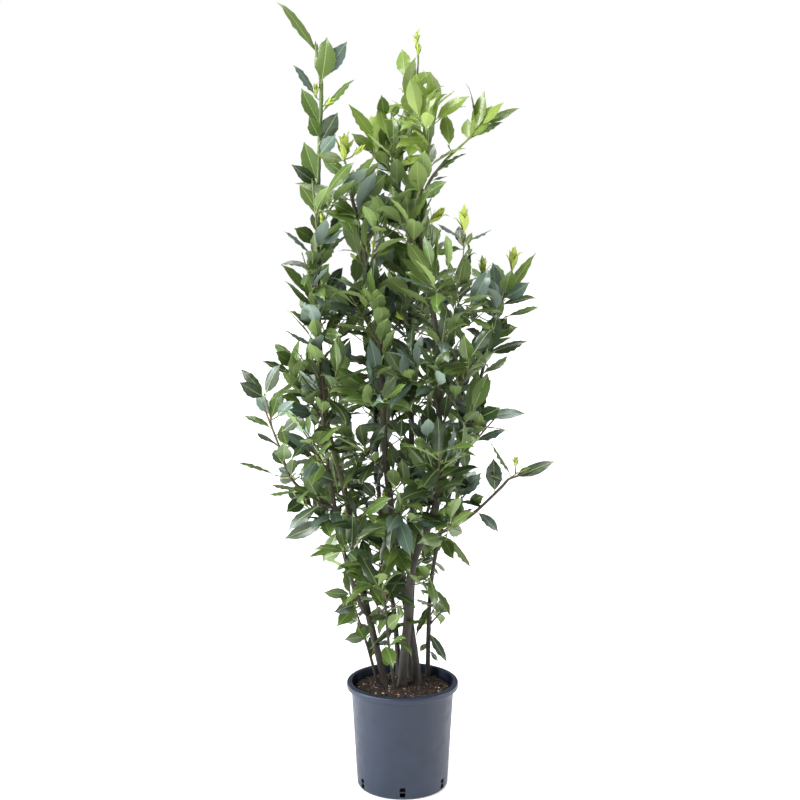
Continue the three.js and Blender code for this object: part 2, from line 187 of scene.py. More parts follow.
# Leaves, from the twig to the leaf's tip
LEAF_LENGTH = 99
LEAF_SIZES = (0.78, 1.14)
LEAF_SHAPES = (0.31, 0.42)
LEAF_SPACING = 17
SPUR_LEAF_SPACING = 12
FEWEST_ON_TWIG = 2
FEWEST_ON_SPUR = 3
LEAF_TRIES = 6
STALK = 9
STALK_FOOT = 0.7
LOWEST_ON_TIP = 0.12
LOWEST_ON_SIDE = 0.3
LOWEST_ON_TWIG = 0.25
LOWEST_ON_SPUR = 0.35
HIGHEST_LEAF = 0.97
OPENING = 53
OPENING_LOST = 32
STRAY_OPENING = 22
STRAY_AROUND = 28
STRAY_ROLL = 46

# A leaf's mesh: its rows, and columns as shares of its half width, with the midrib between the
# middle two; then its thickness, the rise of its side veins and the teeth of its margin
LEAF_ROWS = 12
NEW_LEAF_ROWS = 8
COLUMN_PLACES = (-1, -0.56, 0, 0, 0.56, 1)
COLUMNS = len(COLUMN_PLACES)
MIDRIB = 0.7
RIB_DEPTH = 0.8
BLADE_THICKNESS = 0.45
QUILT = 0.07
SCALLOP = 0.055
PETIOLE_SIDES = 4
PETIOLE_RINGS = 2
PETIOLE_RADII = (1.3, 0.9)
PETIOLE_OVERLAPS = (1.5, 2.5)
PETIOLE_DROP = 0.35
FULL_PETIOLE_LENGTH = 60

# A leaf's shape. Its half width is a sine that is fullest below the middle, made thinner towards
# foot and tip by a power, with a thin neck at its foot. Fold, midrib and its depth lessen towards
# the tip by those shares, and the midrib takes no more than its share of the width.
FULLEST = 0.95
FULLNESS = 0.74
FOOT_TAPER = (0.5, 6)
TIP_TAPER = (0.8, 5)
NECK_WIDTH = 0.8
LEAST_WIDTH = 0.2
TILTED_BACK = 0.35
HOOK_POWER = 5
FOLD_LOST = 0.35
MIDRIB_LOST = 0.5
MIDRIB_MOST = 0.5
RIB_DEPTH_LOST = 0.6
RIPPLE_POWER = 1.5

# How leaves differ: degrees of curl, hook, sway, twist and fold, the arch between fold and
# margin, and the height, length and start (in radians) of the margin's waves. Short leaves wave
# less.
CURL = (2, 28)
HOOK = 80
SWAY = 9
TWIST = 26
FOLD = (8, 32)
ARCH = (0.1, 0.5)
WAVE_HEIGHTS = (0.6, 1.9)
WAVE_LENGTHS = (14, 21)
WAVE_STARTS = (0, 6.28)
SHORTEST_WAVED = 60

# Twigs' sides by kind, their rings and knots, and the bud on each: place and width along it
SEEN_TWIG_SIDES = 6
STEM_TWIG_SIDES = 8
SIDE_TWIG_SIDES = 7
SPUR_SIDES = 5
TWIG_RING_STEP = 9
KNOT = 0.1
KNOT_SPACING = 5
BUD_OUTLINE = ((0, 0.6), (0.25, 1), (0.55, 0.85), (0.8, 0.45), (1, 0.08))
BUD_LENGTH = 9
BUD_RADIUS = 1.8
BUD_SIDES = 6

# Low in the bush the leaves hang: the height where that starts, where it is full, and by how much
HANG_FROM = 950
HANG_FULL = 480
HANG = 34
HANG_SHARES = (0.5, 1.3)

# How far leaves keep from limbs, from twigs, and from each other's midlines, which sag a little
CLEAR_STEP = 10
CLEAR_OF_LIMB = 3
CLEAR_OF_TWIG = 1.5
LEAF_CLEAR = 13
SEEN_LEAF_CLEAR = 12
MIDLINE_SHARES = (0.3, 0.5, 0.7, 0.9)
MIDLINE_SAG = 0.06

# Leaves set where the photograph shows them. A foot further than a stalk's reach from the wood
# gets a short twig. Blades are drawn wider than they were read, as a folded blade shows narrower.
# Short ones lie square to the eye; longer ones get at least a length between the two given, and
# lean to or from it, mostly to it. The widest stand just in front of the stems behind them. Wood
# counts as better the nearer it is to the eye, up to the nearest depth.
REACH_OF_STALK = 8
WIDER = 1.14
SHORT_SEEN_LEAF = 42
SEEN_LENGTHS = (76, 96)
LEANING_FORWARD = 0.65
LONGEST_FULL_LEAF = 95
WIDEST_SEEN_LEAF = 0.52
FULL_FACED = 48
IN_FRONT = 5.5
SEEN_CALM = 0.35
LEAVES_TO_A_SPRAY = 3
DEPTH_COST = 0.1
NEAREST_DEPTH = -60

# The room of a mass, as the solids have it: how far it reaches aside, past its stem's end and
# below its root
SPREAD = 128
OVERREACH = 96
UNDERREACH = 12

FIRST_SEED = 9
SEED_STEP = 100
SEED_STRIDE = 7919
SPUR_SEED = 20
SHOOT_SEED_STEP = 50
SEEN_SEED = 31
SEEN_SPUR_SEED = 900
SEEN_SHOOT_SEED = 800
TUFT_STALK_SEED = 700
LIMB_SEED_PLACE = 60
RANDOM_FACTOR = 16807
RANDOM_MODULUS = 2147483647
UP = np.array([0.0, 0.0, 1.0])

# Stems from the compost to the top: diameters at foot and tip, and the points they pass
STEMS = {
    "left": ((17, 8), [(-40, 25), (-95, 25, 475), (-131, 15, 692), (-174, 8, 870),
                       (-188, 2, 1080), (-187, 0, 1400)]),
    "centre": ((22, 9), [(-2, 5), (12, -4, 400), (24, -12, 535), (76, -26, 680), (82, -27, 860),
                         (78, -22, 1050), (44, -20, 1240), (31, -20, 1350)]),
    "crossing": ((20, 8), [(36, 24), (22, 42, 345), (-12, 40, 550), (-40, 0, 800),
                           (-52, -14, 1060), (-90, -15, 1275), (-114, -15, 1380)]),
    "rear": ((16, 8), [(14, 75), (23, 90, 500), (21, 80, 830), (15, 60, 1270), (17, 48, 1430)]),
    "rear_left": ((13, 7), [(-8, 78), (-18, 98, 370), (-50, 112, 600), (-68, 120, 920),
                            (-76, 120, 990)]),
    "right": ((11, 6.5), [(60, 80), (69, 70, 480), (104, 50, 660), (158, 31, 880),
                          (205, 30, 1070)]),
    "sprout": ((7, 6), [(-17, -16), (-30, -32, 335), (-40, -50, 460)]),
    "sprig": ((7, 6), [(-58, 20), (-78, 6, 320), (-94, -8, 380)]),
}

# Boughs: the limb and height that each grows from, its diameters, and the points it passes
BOUGHS = {
    "left_fork": ("left", 400, (11, 6), [(-92, -2, 425), (-122, -17, 515), (-155, -32, 680),
                                         (-181, -36, 900), (-190, -34, 1120), (-184, -30, 1240)]),
    "left_low": ("left_fork", 670, (8, 6), [(-205, -42, 700), (-252, -48, 745), (-276, -50, 815)]),
    "right_low": ("right", 590, (8, 6), [(150, 20, 636), (223, -20, 716), (240, -28, 738)]),
    "top_right": ("centre", 1335, (7.5, 6), [(58, -24, 1405), (95, -22, 1455)]),
    "back_left": ("rear_left", 500, (8, 6), [(-82, 165, 620), (-122, 205, 740)]),
    "back_right": ("rear", 530, (8, 6), [(72, 150, 660), (112, 190, 800)]),
}

# Masses that carry on from a limb's tip: bearing, rise, and length of their own stem
TIP_MASSES = {
    "left": (178, 88, 322), "centre": (30, 80, 190), "crossing": (175, 80, 120),
    "rear": (10, 87, 225), "rear_left": (160, 78, 180), "right": (15, 78, 130),
    "sprout": (250, 70, 100), "sprig": (165, 70, 80), "left_fork": (220, 84, 170),
    "left_low": (185, 70, 105), "right_low": (352, 22, 50), "top_right": (0, 42, 85),
    "back_left": (125, 60, 190), "back_right": (50, 62, 190),
}

# Masses along the limbs: height on the limb, bearing, rise, and length of their own stem
SIDE_MASSES = {
    "left": [(590, 190, 36, 150), (720, 150, 48, 150), (860, 210, 52, 160), (1000, 20, 50, 130),
             (1120, 200, 74, 130), (1290, 330, 60, 110)],
    "left_fork": [(540, 285, 40, 130), (750, 240, 48, 150)],
    "centre": [(590, 330, 30, 130), (720, 270, 45, 150), (850, 352, 64, 220), (900, 225, 55, 140),
               (1000, 15, 72, 210), (1110, 300, 60, 130), (1225, 200, 62, 120)],
    "crossing": [(600, 280, 40, 140), (740, 200, 45, 140), (880, 260, 52, 150),
                 (1040, 190, 60, 130), (1200, 290, 64, 130)],
    "rear": [(620, 60, 40, 170), (780, 120, 45, 180), (960, 80, 60, 230), (1150, 30, 60, 160),
             (1330, 195, 66, 170)],
    "rear_left": [(620, 165, 40, 170), (800, 85, 50, 140)],
    "right": [(360, 330, 50, 60), (630, 15, 45, 120), (770, 340, 50, 140)],
}

# The camera, fitted to the pot's rim and foot in the photograph, and the crown's outline as it
# shows from there in the plane through the pot's middle: height, then furthest left and right
EYE = np.array([-5.8, -3600, 1520])
EYE_DOWN = 9.53
LENS = 72.45
OUTLINE = [
    (285, 0, 0), (300, -92, 88), (350, -106, 92), (400, -140, 105),
    (460, -150, 100), (500, -155, 100), (540, -185, 125), (590, -215, 130), (620, -225, 150),
    (655, -235, 165), (700, -270, 185), (735, -275, 180), (770, -285, 172), (810, -282, 180),
    (850, -282, 200), (880, -300, 210), (920, -315, 198), (950, -320, 190), (985, -290, 200),
    (1015, -275, 215), (1045, -250, 225), (1070, -235, 228), (1095, -225, 232), (1130, -235, 250),
    (1200, -228, 248), (1260, -205, 225), (1290, -205, 155), (1310, -212, 112), (1340, -208, 88),
    (1370, -215, 80), (1400, -218, 84), (1430, -150, 105), (1470, -110, 132), (1500, -102, 150),
    (1550, -110, 150), (1580, -112, 150), (1600, -60, 145), (1625, -15, 90), (1650, -10, 70),
    (1670, 0, 55), (1690, 20, 30), (1790, 25, 26),
]
OUTLINE_MARGIN = 5

# Where sky shows inside that outline: x, height, and half its width and height
SKY = [
    (-62, 1665, 52, 85), (-95, 1765, 105, 50), (115, 1628, 32, 28), (128, 1538, 13, 22),
    (76, 1512, 18, 28), (-85, 1472, 16, 20), (76, 1372, 16, 18), (95, 1335, 30, 22),
    (-152, 1415, 24, 16), (-150, 1520, 22, 26), (-155, 1345, 14, 32), (-120, 1272, 20, 20),
    (-70, 1272, 14, 22), (98, 1238, 36, 22), (196, 1262, 30, 22), (278, 1262, 16, 10),
    (-110, 1205, 20, 26), (-148, 1232, 20, 20), (166, 1232, 22, 18), (166, 1092, 16, 24),
    (-100, 1045, 18, 20), (-108, 995, 15, 11), (-152, 1010, 10, 14), (124, 992, 14, 26),
    (160, 968, 16, 12), (-332, 996, 22, 10), (250, 960, 20, 14), (152, 932, 13, 38),
    (-288, 938, 15, 15), (205, 900, 10, 8), (-100, 885, 26, 18), (-222, 862, 24, 26),
    (-262, 868, 17, 17), (-108, 828, 14, 24), (-210, 782, 36, 20), (-84, 765, 28, 20),
    (188, 765, 13, 30), (114, 782, 18, 16), (175, 690, 28, 20), (140, 632, 22, 9),
    (-186, 598, 14, 22), (-232, 572, 32, 10), (105, 560, 18, 15), (-147, 502, 19, 19),
    (-114, 500, 9, 24), (122, 522, 20, 22), (82, 490, 13, 24), (48, 440, 11, 30),
    (82, 378, 15, 15), (-138, 1397, 17, 14), (166, 1172, 20, 12), (105, 1144, 12, 16),
    (40, 772, 17, 11), (162, 785, 14, 22), (-62, 565, 13, 16), (-48, 1377, 9, 9),
    (66, 344, 16, 14), (-24, 330, 16, 22),
]

# The stems of masses that show plainly, as they are seen
SEEN_STEMS = {
    "left_tip": [(-184, 1480), (-180, 1560), (-179, 1620), (-186, 1676), (-190, 1704)],
    "crossing_tip": [(-118, 1400), (-120, 1425), (-129, 1455)],
    "rear_tip": [(20, 1500), (23, 1570), (33, 1650), (34, 1676), (30, 1700)],
    "centre_tip": [(44, 1400), (58, 1480), (71, 1545), (78, 1580)],
    "right_tip": [(211, 1115), (226, 1148), (236, 1190)],
}

# Shoots and leaves read off the photograph. All places are x and height as they are seen from
# the camera, in the plane through the pot's middle; the depth is that of the wood they grow from.
SEEN_SHOOTS = {
    "rear": [[(-22, 1420), (-45, 1480), (-50, 1528)]],
    "centre": [[(100, 905), (120, 961), (157, 1022), (163, 1062)],
               [(119, 1150), (129, 1203), (135, 1241), (137, 1262)]],
    "right": [[(211, 1115), (228, 1150), (234, 1180)], [(171, 905), (188, 930)]],
    "left": [[(-190, 930), (-222, 962), (-243, 1004)]],
    "left_low": [[(-291, 849), (-302, 885), (-312, 925)]],
    "top_right": [[(141, 1500), (160, 1518), (178, 1532)]],
    "right_low": [[(245, 728), (258, 744)]],
}

# Each leaf: foot x and height, tip x and height, and how wide it shows
SEEN_LEAVES = {
    "left": [
        (-193, 1682, -270, 1803, 20), (-177, 1620, -160, 1719, 48), (-178, 1632, -118, 1708, 34),
        (-190, 1590, -233, 1662, 12), (-173, 1555, -109, 1634, 12), (-188, 1530, -226, 1608, 31),
        (-176, 1488, -142, 1558, 44), (-186, 1502, -205, 1545, 18), (-183, 1465, -146, 1508, 19),
        (-189, 1403, -223, 1492, 37), (-189, 1400, -241, 1441, 22), (-193, 1338, -231, 1404, 28),
        (-183, 1273, -236, 1310, 19), (-200, 1238, -261, 1300, 5), (-184, 1206, -271, 1232, 7),
        (-193, 1138, -266, 1230, 16), (-189, 1125, -226, 1202, 26), (-198, 1118, -261, 1190, 17),
        (-199, 1097, -236, 1148, 20), (-197, 1079, -247, 1127, 9), (-204, 1056, -262, 1128, 8),
        (-200, 1035, -267, 1075, 14), (-238, 1009, -296, 1042, 12), (-240, 997, -282, 1030, 20),
        (-188, 974, -251, 1006, 20), (-240, 975, -314, 1006, 15), (-176, 1158, -138, 1218, 20),
        (-177, 1091, -130, 1183, 25), (-178, 1062, -138, 1112, 20), (-180, 972, -133, 1000, 17),
        (-180, 1177, -165, 1234, 15), (-164, 1290, -128, 1340, 28), (-189, 925, -266, 938, 14),
        (-203, 882, -250, 910, 17), (-183, 1203, -190, 1245, 22), (-182, 1345, -166, 1392, 24),
        (-186, 1266, -130, 1304, 16), (-182, 1066, -138, 1078, 18), (-225, 905, -268, 938, 16),
    ],
    "crossing": [
        (-120, 1412, -182, 1462, 28), (-118, 1363, -239, 1407, 16), (-114, 1400, -62, 1466, 19),
        (-108, 1350, -36, 1424, 40), (-110, 1330, -150, 1362, 24), (-100, 1320, -58, 1372, 26),
        (-70, 1160, -62, 1238, 24), (-50, 1210, -58, 1262, 20), (-20, 745, -28, 822, 18),
        (-5, 826, 2, 882, 26), (-60, 690, -90, 740, 20), (-128, 608, -135, 655, 16),
        (-125, 1452, -182, 1470, 18),
    ],
    "rear": [
        (-54, 1490, -117, 1578, 27), (-60, 1468, -107, 1515, 25), (-35, 1452, -84, 1538, 28),
        (-45, 1500, -74, 1552, 22), (-42, 1545, -42, 1592, 16), (-30, 1500, -55, 1574, 24),
        (-30, 1540, -8, 1574, 18), (6, 1628, -1, 1698, 31), (17, 1638, 18, 1666, 8),
        (36, 1618, 64, 1649, 18), (25, 1568, -4, 1618, 9), (-12, 1512, 55, 1568, 18),
        (28, 1560, 11, 1640, 24), (22, 1590, 34, 1640, 20), (-5, 1480, -2, 1560, 26),
        (2, 1185, -14, 1288, 32), (10, 1200, 0, 1262, 26), (12, 1520, 8, 1575, 20),
        (25, 1490, 40, 1545, 24), (-58, 1438, -26, 1384, 24), (50, 1052, 62, 1022, 16),
        (2, 836, 12, 795, 22), (-8, 772, 4, 748, 18),
    ],
    "centre": [
        (69, 1561, 66, 1641, 31), (66, 1553, 24, 1628, 25), (75, 1540, 142, 1598, 26),
        (80, 1570, 116, 1607, 4), (11, 1454, 36, 1521, 36), (55, 1453, 28, 1534, 25),
        (43, 1367, 94, 1410, 22), (40, 1435, 74, 1488, 25), (52, 1480, 58, 1560, 26),
        (136, 1258, 124, 1306, 20), (136, 1258, 156, 1294, 14), (135, 1258, 65, 1247, 15),
        (132, 1276, 84, 1310, 5), (140, 1268, 200, 1298, 6), (135, 1240, 156, 1258, 14),
        (62, 1181, 126, 1215, 19), (118, 1200, 96, 1236, 9), (77, 1163, 129, 1197, 10),
        (128, 1173, 171, 1187, 5), (126, 1147, 150, 1176, 19), (129, 1092, 127, 1140, 28),
        (107, 1070, 157, 1115, 18), (164, 1020, 247, 1066, 15), (142, 1001, 138, 1071, 30),
        (160, 1008, 170, 1074, 20), (141, 983, 185, 997, 15), (115, 954, 148, 962, 12),
        (129, 928, 175, 943, 8), (101, 801, 163, 822, 13), (89, 733, 140, 752, 15),
        (100, 738, 169, 771, 17), (80, 745, 114, 777, 11),
        (62, 846, 52, 920, 34), (92, 870, 100, 938, 16), (45, 505, 68, 534, 18),
        (38, 882, 43, 845, 14), (60, 668, 48, 700, 20), (36, 532, 72, 546, 18),
    ],
    "top_right": [
        (103, 1481, 99, 1558, 25), (139, 1501, 199, 1572, 34), (150, 1512, 183, 1603, 25),
        (158, 1525, 148, 1626, 8), (140, 1499, 146, 1546, 18), (165, 1525, 222, 1579, 20),
        (175, 1530, 258, 1574, 22), (141, 1499, 220, 1540, 12), (69, 1430, 137, 1472, 13),
        (83, 1438, 102, 1440, 10), (58, 1407, 99, 1420, 7), (61, 1412, 80, 1425, 8),
    ],
    "right": [
        (191, 1172, 155, 1215, 14), (147, 1126, 187, 1167, 17), (200, 1102, 179, 1157, 28),
        (212, 1125, 200, 1196, 22), (214, 1125, 203, 1228, 32), (226, 1140, 297, 1250, 24),
        (225, 1146, 281, 1182, 24), (219, 1128, 296, 1160, 13), (230, 1104, 303, 1133, 7),
        (194, 1064, 228, 1112, 25), (190, 1063, 252, 1092, 20), (194, 1020, 281, 1057, 24),
        (182, 970, 243, 1012, 14), (230, 1160, 232, 1216, 20), (175, 1002, 168, 1050, 16),
        (173, 875, 280, 891, 20), (171, 881, 217, 908, 27), (160, 856, 241, 854, 4),
        (155, 819, 235, 849, 16), (126, 689, 174, 756, 35), (120, 682, 180, 681, 6),
        (98, 614, 145, 594, 30), (98, 600, 160, 521, 14), (80, 533, 105, 500, 9),
        (70, 479, 108, 427, 9), (76, 440, 115, 405, 14), (112, 630, 146, 655, 16),
        (68, 372, 100, 306, 19), (66, 330, 84, 298, 12),
        (150, 676, 178, 708, 26), (92, 605, 119, 560, 24), (64, 432, 112, 406, 20),
        (62, 436, 31, 376, 14), (58, 346, 40, 322, 16),
    ],
    "right_low": [
        (212, 699, 209, 781, 37), (240, 722, 200, 743, 16), (253, 731, 349, 772, 24),
        (250, 737, 200, 819, 8), (256, 742, 294, 760, 14), (169, 655, 221, 623, 14),
    ],
    "left_low": [
        (-309, 931, -281, 1005, 25), (-312, 929, -366, 986, 17), (-312, 920, -364, 962, 25),
        (-298, 880, -337, 922, 27), (-300, 910, -226, 977, 14), (-288, 875, -245, 924, 20),
        (-290, 849, -361, 877, 11), (-287, 803, -339, 834, 5), (-288, 741, -372, 777, 5),
        (-261, 763, -304, 790, 15), (-266, 773, -264, 828, 35), (-258, 773, -204, 829, 15),
        (-275, 843, -229, 883, 20), (-241, 703, -309, 707, 9), (-240, 700, -309, 690, 8),
        (-218, 686, -262, 676, 22), (-240, 735, -295, 720, 22), (-248, 742, -284, 760, 18),
        (-262, 806, -284, 846, 24),
    ],
    "left_fork": [
        (-151, 727, -207, 760, 26), (-177, 690, -250, 720, 17), (-190, 672, -266, 613, 23),
        (-170, 638, -271, 588, 29), (-149, 665, -219, 655, 15), (-145, 614, -185, 535, 26),
        (-150, 616, -195, 606, 12), (-140, 575, -212, 557, 14), (-170, 745, -235, 750, 17),
        (-118, 460, -178, 480, 24), (-106, 436, -147, 408, 22),
        (-108, 438, -156, 440, 20), (-140, 562, -188, 528, 18), (-160, 700, -130, 680, 22),
    ],
    "sprig": [(-86, 345, -104, 398, 18), (-94, 398, -143, 390, 26), (-80, 358, -131, 374, 22)],
    "sprout": [(-32, 290, -46, 345, 16), (-30, 380, -8, 430, 18), (-45, 422, -72, 460, 16),
               (-48, 480, -34, 415, 18), (-12, 440, 0, 400, 16)],
}

# Masses that are one plain shoot with no side twigs: lowest leaf and the space between leaves
PLAIN_SHOOTS = {
    "left_tip": (0.9, 60), "crossing_tip": (0.5, 40), "top_right_tip": (0.9, 40),
    "right_low_tip": (0.9, 40), "left_low_tip": (0.6, 40),
}

# Tufts of new leaves on thin stalks: the limb, and the tuft's foot and size. Its leaves stand
# open more and lower the later they come.
TUFTS = [
    ("crossing", -130, 1457, 62), ("crossing", -105, 1468, 28), ("crossing", -148, 1446, 26),
    ("rear", 27, 1698, 28), ("rear", 41, 1678, 26), ("centre", 64, 1320, 46),
    ("centre", 137, 1303, 48), ("right", 182, 1203, 40), ("right", 246, 1217, 50),
    ("left", -183, 1308, 26), ("left", -191, 1596, 26), ("left", -168, 1575, 26),
    ("crossing", -68, 1254, 18), ("crossing", -105, 1236, 18), ("centre", 0, 1100, 24),
    ("right", 190, 936, 36), ("right_low", 258, 764, 26), ("crossing", -39, 676, 32),
    ("centre", 141, 1138, 20),
]
TUFT_LEAVES = 7
TUFT_OPENING = 4
TUFT_OPENING_STEP = 2.6
STRAY_TUFT = 6
TUFT_DEPTH = 0.3
TUFT_SEED_STEP = 55
NEW_LEAF_SIZES = (0.95, 1.15)
NEW_LEAF_LOSS = 0.6
NEW_LEAF_SHAPE = 0.31
NEW_STALK = 3
NEW_STALK_FOOT = 0.6

# Greens: upper side and underside of each, the greens of each part of the crown, the heights
# where those parts start, and how many leaves have their own spray's green
TONES = {
    "deep": ("2e3f22", "566640"),
    # blue is a grey-blue painted sheen: the reflection of a pale sky on the wax, laid into the
    # leaf's own colour
    "blue": ("52665a", "7f9184"),
    "mid": ("50672d", "71864c"),
    "olive": ("566a30", "748848"),
    # bright and fresh, on both sides, are the paler green of young leaves with painted light
    # shining through them from above
    "bright": ("6b8233", "83974e"),
    "fresh": ("819841", "95aa59"),
}
PALETTES = {
    # The crown takes mostly those greens, so its top shows painted light
    "crown": ("bright", "fresh", "mid", "bright", "bright"),
    "leader": ("olive", "mid", "blue", "deep", "mid"),
    "upper": ("mid", "olive", "deep", "blue", "mid"),
    "middle": ("deep", "blue", "mid", "deep", "mid"),
    "foot": ("mid", "olive", "mid", "mid", "deep"),
}
PALETTE_HEIGHTS = (("crown", 1430), ("upper", 1120), ("middle", 650), ("foot", 0))
LEADER_FROM = 1050
LEADER_LEFT_OF = -140
OWN_GREEN = 0.5

# Chosen so that the leader's first leaves get the greens that they have in the photograph
TONE_SEED = 5084
LEAF_SHAPE_SEED = 40
NEW_LEAF_SHAPE_SEED = 80

# Where limbs bear short leafy shoots between their masses, and from where on leaves of their
# own as well: lowest shoot, lowest leaf and top
LEAFY_LIMBS = {
    "left": (560, 900, 1395), "centre": (380, 900, 1345), "crossing": (370, 900, 1375),
    "rear": (400, 900, 1425), "rear_left": (420, 820, 985), "right": (340, 800, 1065),
    "sprout": (290, 345, 455), "sprig": (290, 300, 375), "left_fork": (450, 860, 1235),
    "left_low": (685, 690, 805), "back_left": (600, 600, 735), "back_right": (640, 640, 795),
}
LIMB_LEAF_SPACING = 30
SHOOT_SPACING = 72
SHOOT_LENGTHS = (45, 115)
SHOOT_RADII = (1.9, 1.1)
SHOOT_ANGLE = 48
STRAY_SHOOT = 24
SHOOT_SEEDS = 9000

# Studio, in metres and watts. The floor glows by the first strength near the pot and by the
# second far out, and changes between the two distances. Lamps: place, height aimed at, size,
# power and colour.
SURROUND_LIGHT = 0.37
FLOOR_REACH = 12.0
FLOOR_GLOW = (0.5, 1.0)
FLOOR_CHANGE = (2.5, 6.0)
LAMPS = {
    "key": ((-4.6, -4.4, 4.6), 0.9, 2.6, 460, "ffffff"),
    "top": ((0.4, 0.2, 6.4), 0.9, 3.2, 330, "ffffff"),
    "left_strip": ((-3.6, -0.7, 1.2), 0.8, 1.8, 160, "eef4ff"),
    "right_strip": ((3.6, -0.4, 1.2), 0.8, 1.8, 70, "ebe9ff"),
}


# Curves and chance

def unit(vector):
    return vector / np.linalg.norm(vector)


def heading(bearing, rise):
    turn, lift = math.radians(bearing), math.radians(rise)
    return np.array([math.cos(lift) * math.cos(turn), math.cos(lift) * math.sin(turn),
                     math.sin(lift)])


def rotated(vector, axis, degrees):
    angle = math.radians(degrees)
    return (vector * math.cos(angle) + np.cross(axis, vector) * math.sin(angle)
            + axis * (axis @ vector) * (1 - math.cos(angle)))


def random_from(seed):
    """Evenly spread numbers from 0 to 1, the same ones every time for one seed."""
    state = seed * SEED_STRIDE % RANDOM_MODULUS

    def draw():
        nonlocal state
        state = state * RANDOM_FACTOR % RANDOM_MODULUS
        return state / RANDOM_MODULUS
    return draw


def stray(draw, span):
    return span * (draw() - 0.5)


def between(draw, limits):
    low, high = limits
    return low + (high - low) * draw()


def opened(tangent, side, degrees):
    """A direction that stands off a shoot to one side at that angle."""
    angle = math.radians(degrees)
    return tangent * math.cos(angle) + side * math.sin(angle)


class Way:
    """A centripetal Catmull-Rom curve through points, read by share of its length."""
    SPAN_STEPS = 48
    TANGENT_STEP = 1.5

    def __init__(self, points):
        points = [np.asarray(point, float) for point in points]
        ends = [2 * points[0] - points[1], *points, 2 * points[-1] - points[-2]]
        line = [points[0]]
        for four in zip(ends, ends[1:], ends[2:], ends[3:]):
            line.extend(self.span(*four))
        self.line = np.array(line)
        run = np.linalg.norm(np.diff(self.line, axis=0), axis=1)
        self.run = np.concatenate([[0], np.cumsum(run)])
        self.length = self.run[-1]

    def span(self, before, start, end, after):
        gaps = [math.sqrt(np.linalg.norm(b - a))
                for a, b in ((before, start), (start, end), (end, after))]
        leave = ((start - before) / gaps[0] - (end - before) / (gaps[0] + gaps[1])
                 + (end - start) / gaps[1]) * gaps[1]
        arrive = ((end - start) / gaps[1] - (after - start) / (gaps[1] + gaps[2])
                  + (after - end) / gaps[2]) * gaps[1]
        t = np.linspace(0, 1, self.SPAN_STEPS + 1)[1:, None]
        return (start + leave * t + (3 * (end - start) - 2 * leave - arrive) * t ** 2
                + (2 * (start - end) + leave + arrive) * t ** 3)

    def at(self, share):
        place = np.asarray(share, float) * self.length
        return np.stack([np.interp(place, self.run, self.line[:, k]) for k in range(3)], -1)

    def tangent(self, share):
        step = self.TANGENT_STEP / self.length
        return unit(self.at(min(share + step, 1)) - self.at(max(share - step, 0)))

    def share_at(self, height):
        return float(np.interp(height, self.line[:, 2], self.run) / self.length)


# Limbs

class Limb:
    """A stem or a bough: its way and its radius along it."""

    def __init__(self, points, girth, flare):
        self.way = Way(points)
        self.foot, self.tip = girth[0] / 2, girth[1] / 2
        self.flare = flare

    def radius(self, share):
        swell = self.flare * self.foot * np.exp(-share * self.way.length / FLARE_HEIGHT)
        return self.tip + (self.foot - self.tip) * (1 - share) ** TAPER + swell


def make_limbs():
    limbs = {}
    for name, (girth, (foot, *rest)) in STEMS.items():
        ground = np.array([*foot, SOIL_TOP], float)
        below = ground - unit(np.array(rest[0]) - ground) * BURIED
        limbs[name] = Limb([below, ground, *rest], girth, FLARE)
    for name, (parent, height, girth, points) in BOUGHS.items():
        way = limbs[parent].way
        root = way.at(way.share_at(height))
        limbs[name] = Limb([root, *points], girth, 0)
    return limbs


# Twigs

class Shoot:
    """What leaves grow on. It has a way, and a level direction that leaves turn round from,
    which a nudge gives to an upright one too."""
    NUDGE = 1e-6

    def level_across(self, direction):
        return unit(np.cross(direction, UP) + np.array([self.NUDGE, 0, 0]))

    def frame(self, share):
        tangent = self.way.tangent(share)
        level = unit(self.level - tangent * (self.level @ tangent))
        return tangent, level, np.cross(level, tangent)

    def outward(self, share, degrees):
        _, level, upward = self.frame(share)
        angle = math.radians(degrees)
        return level * math.cos(angle) + upward * math.sin(angle)


class Twig(Shoot):
    """A twig: straight as the solids have it, or bowed so that its end turns up."""

    def __init__(self, root, direction, length, radii, seed, bow=0.0):
        self.root, self.direction, self.length = root, direction, length
        self.end = root + direction * length
        self.level = self.level_across(direction)
        self.radii, self.seed = radii, seed
        upward = np.cross(self.level, direction)
        middle = (self.root + self.end) / 2 - upward * bow * length
        self.way = Way([self.root, middle, self.end])
        self.draw = random_from(seed)
        self.turn = 360 * self.draw()
        self.spray = seed

    def radius(self, share):
        root, tip = self.radii
        return root + (tip - root) * share


def bend(twig, points):
    """Leads a twig through points as they are seen, at its own depth."""
    depth = np.linspace(twig.root[1], twig.end[1], len(points) + 1)[1:]
    twig.way = Way([twig.root] + [at_depth(x, z, y) for (x, z), y in zip(points, depth)])
    twig.end = twig.way.at(1.0)


class LimbStretch(Shoot):
    """A stretch of a limb that bears leaves itself. It is its own way, read by its own share."""
    NUDGE = 1e-3

    def __init__(self, limb, low, high, seed):
        self.limb, self.way, self.spray = limb, self, seed
        self.start, self.stop = limb.way.share_at(low), limb.way.share_at(high)
        self.length = (self.stop - self.start) * limb.way.length
        self.draw = random_from(seed)
        self.turn = 360 * self.draw()
        self.level = self.level_across(self.tangent(0.5))

    def along(self, share):
        return self.start + (self.stop - self.start) * share

    def at(self, share):
        return self.limb.way.at(self.along(share))

    def tangent(self, share):
        return self.limb.way.tangent(self.along(share))

    def radius(self, share):
        return self.limb.radius(self.along(share))


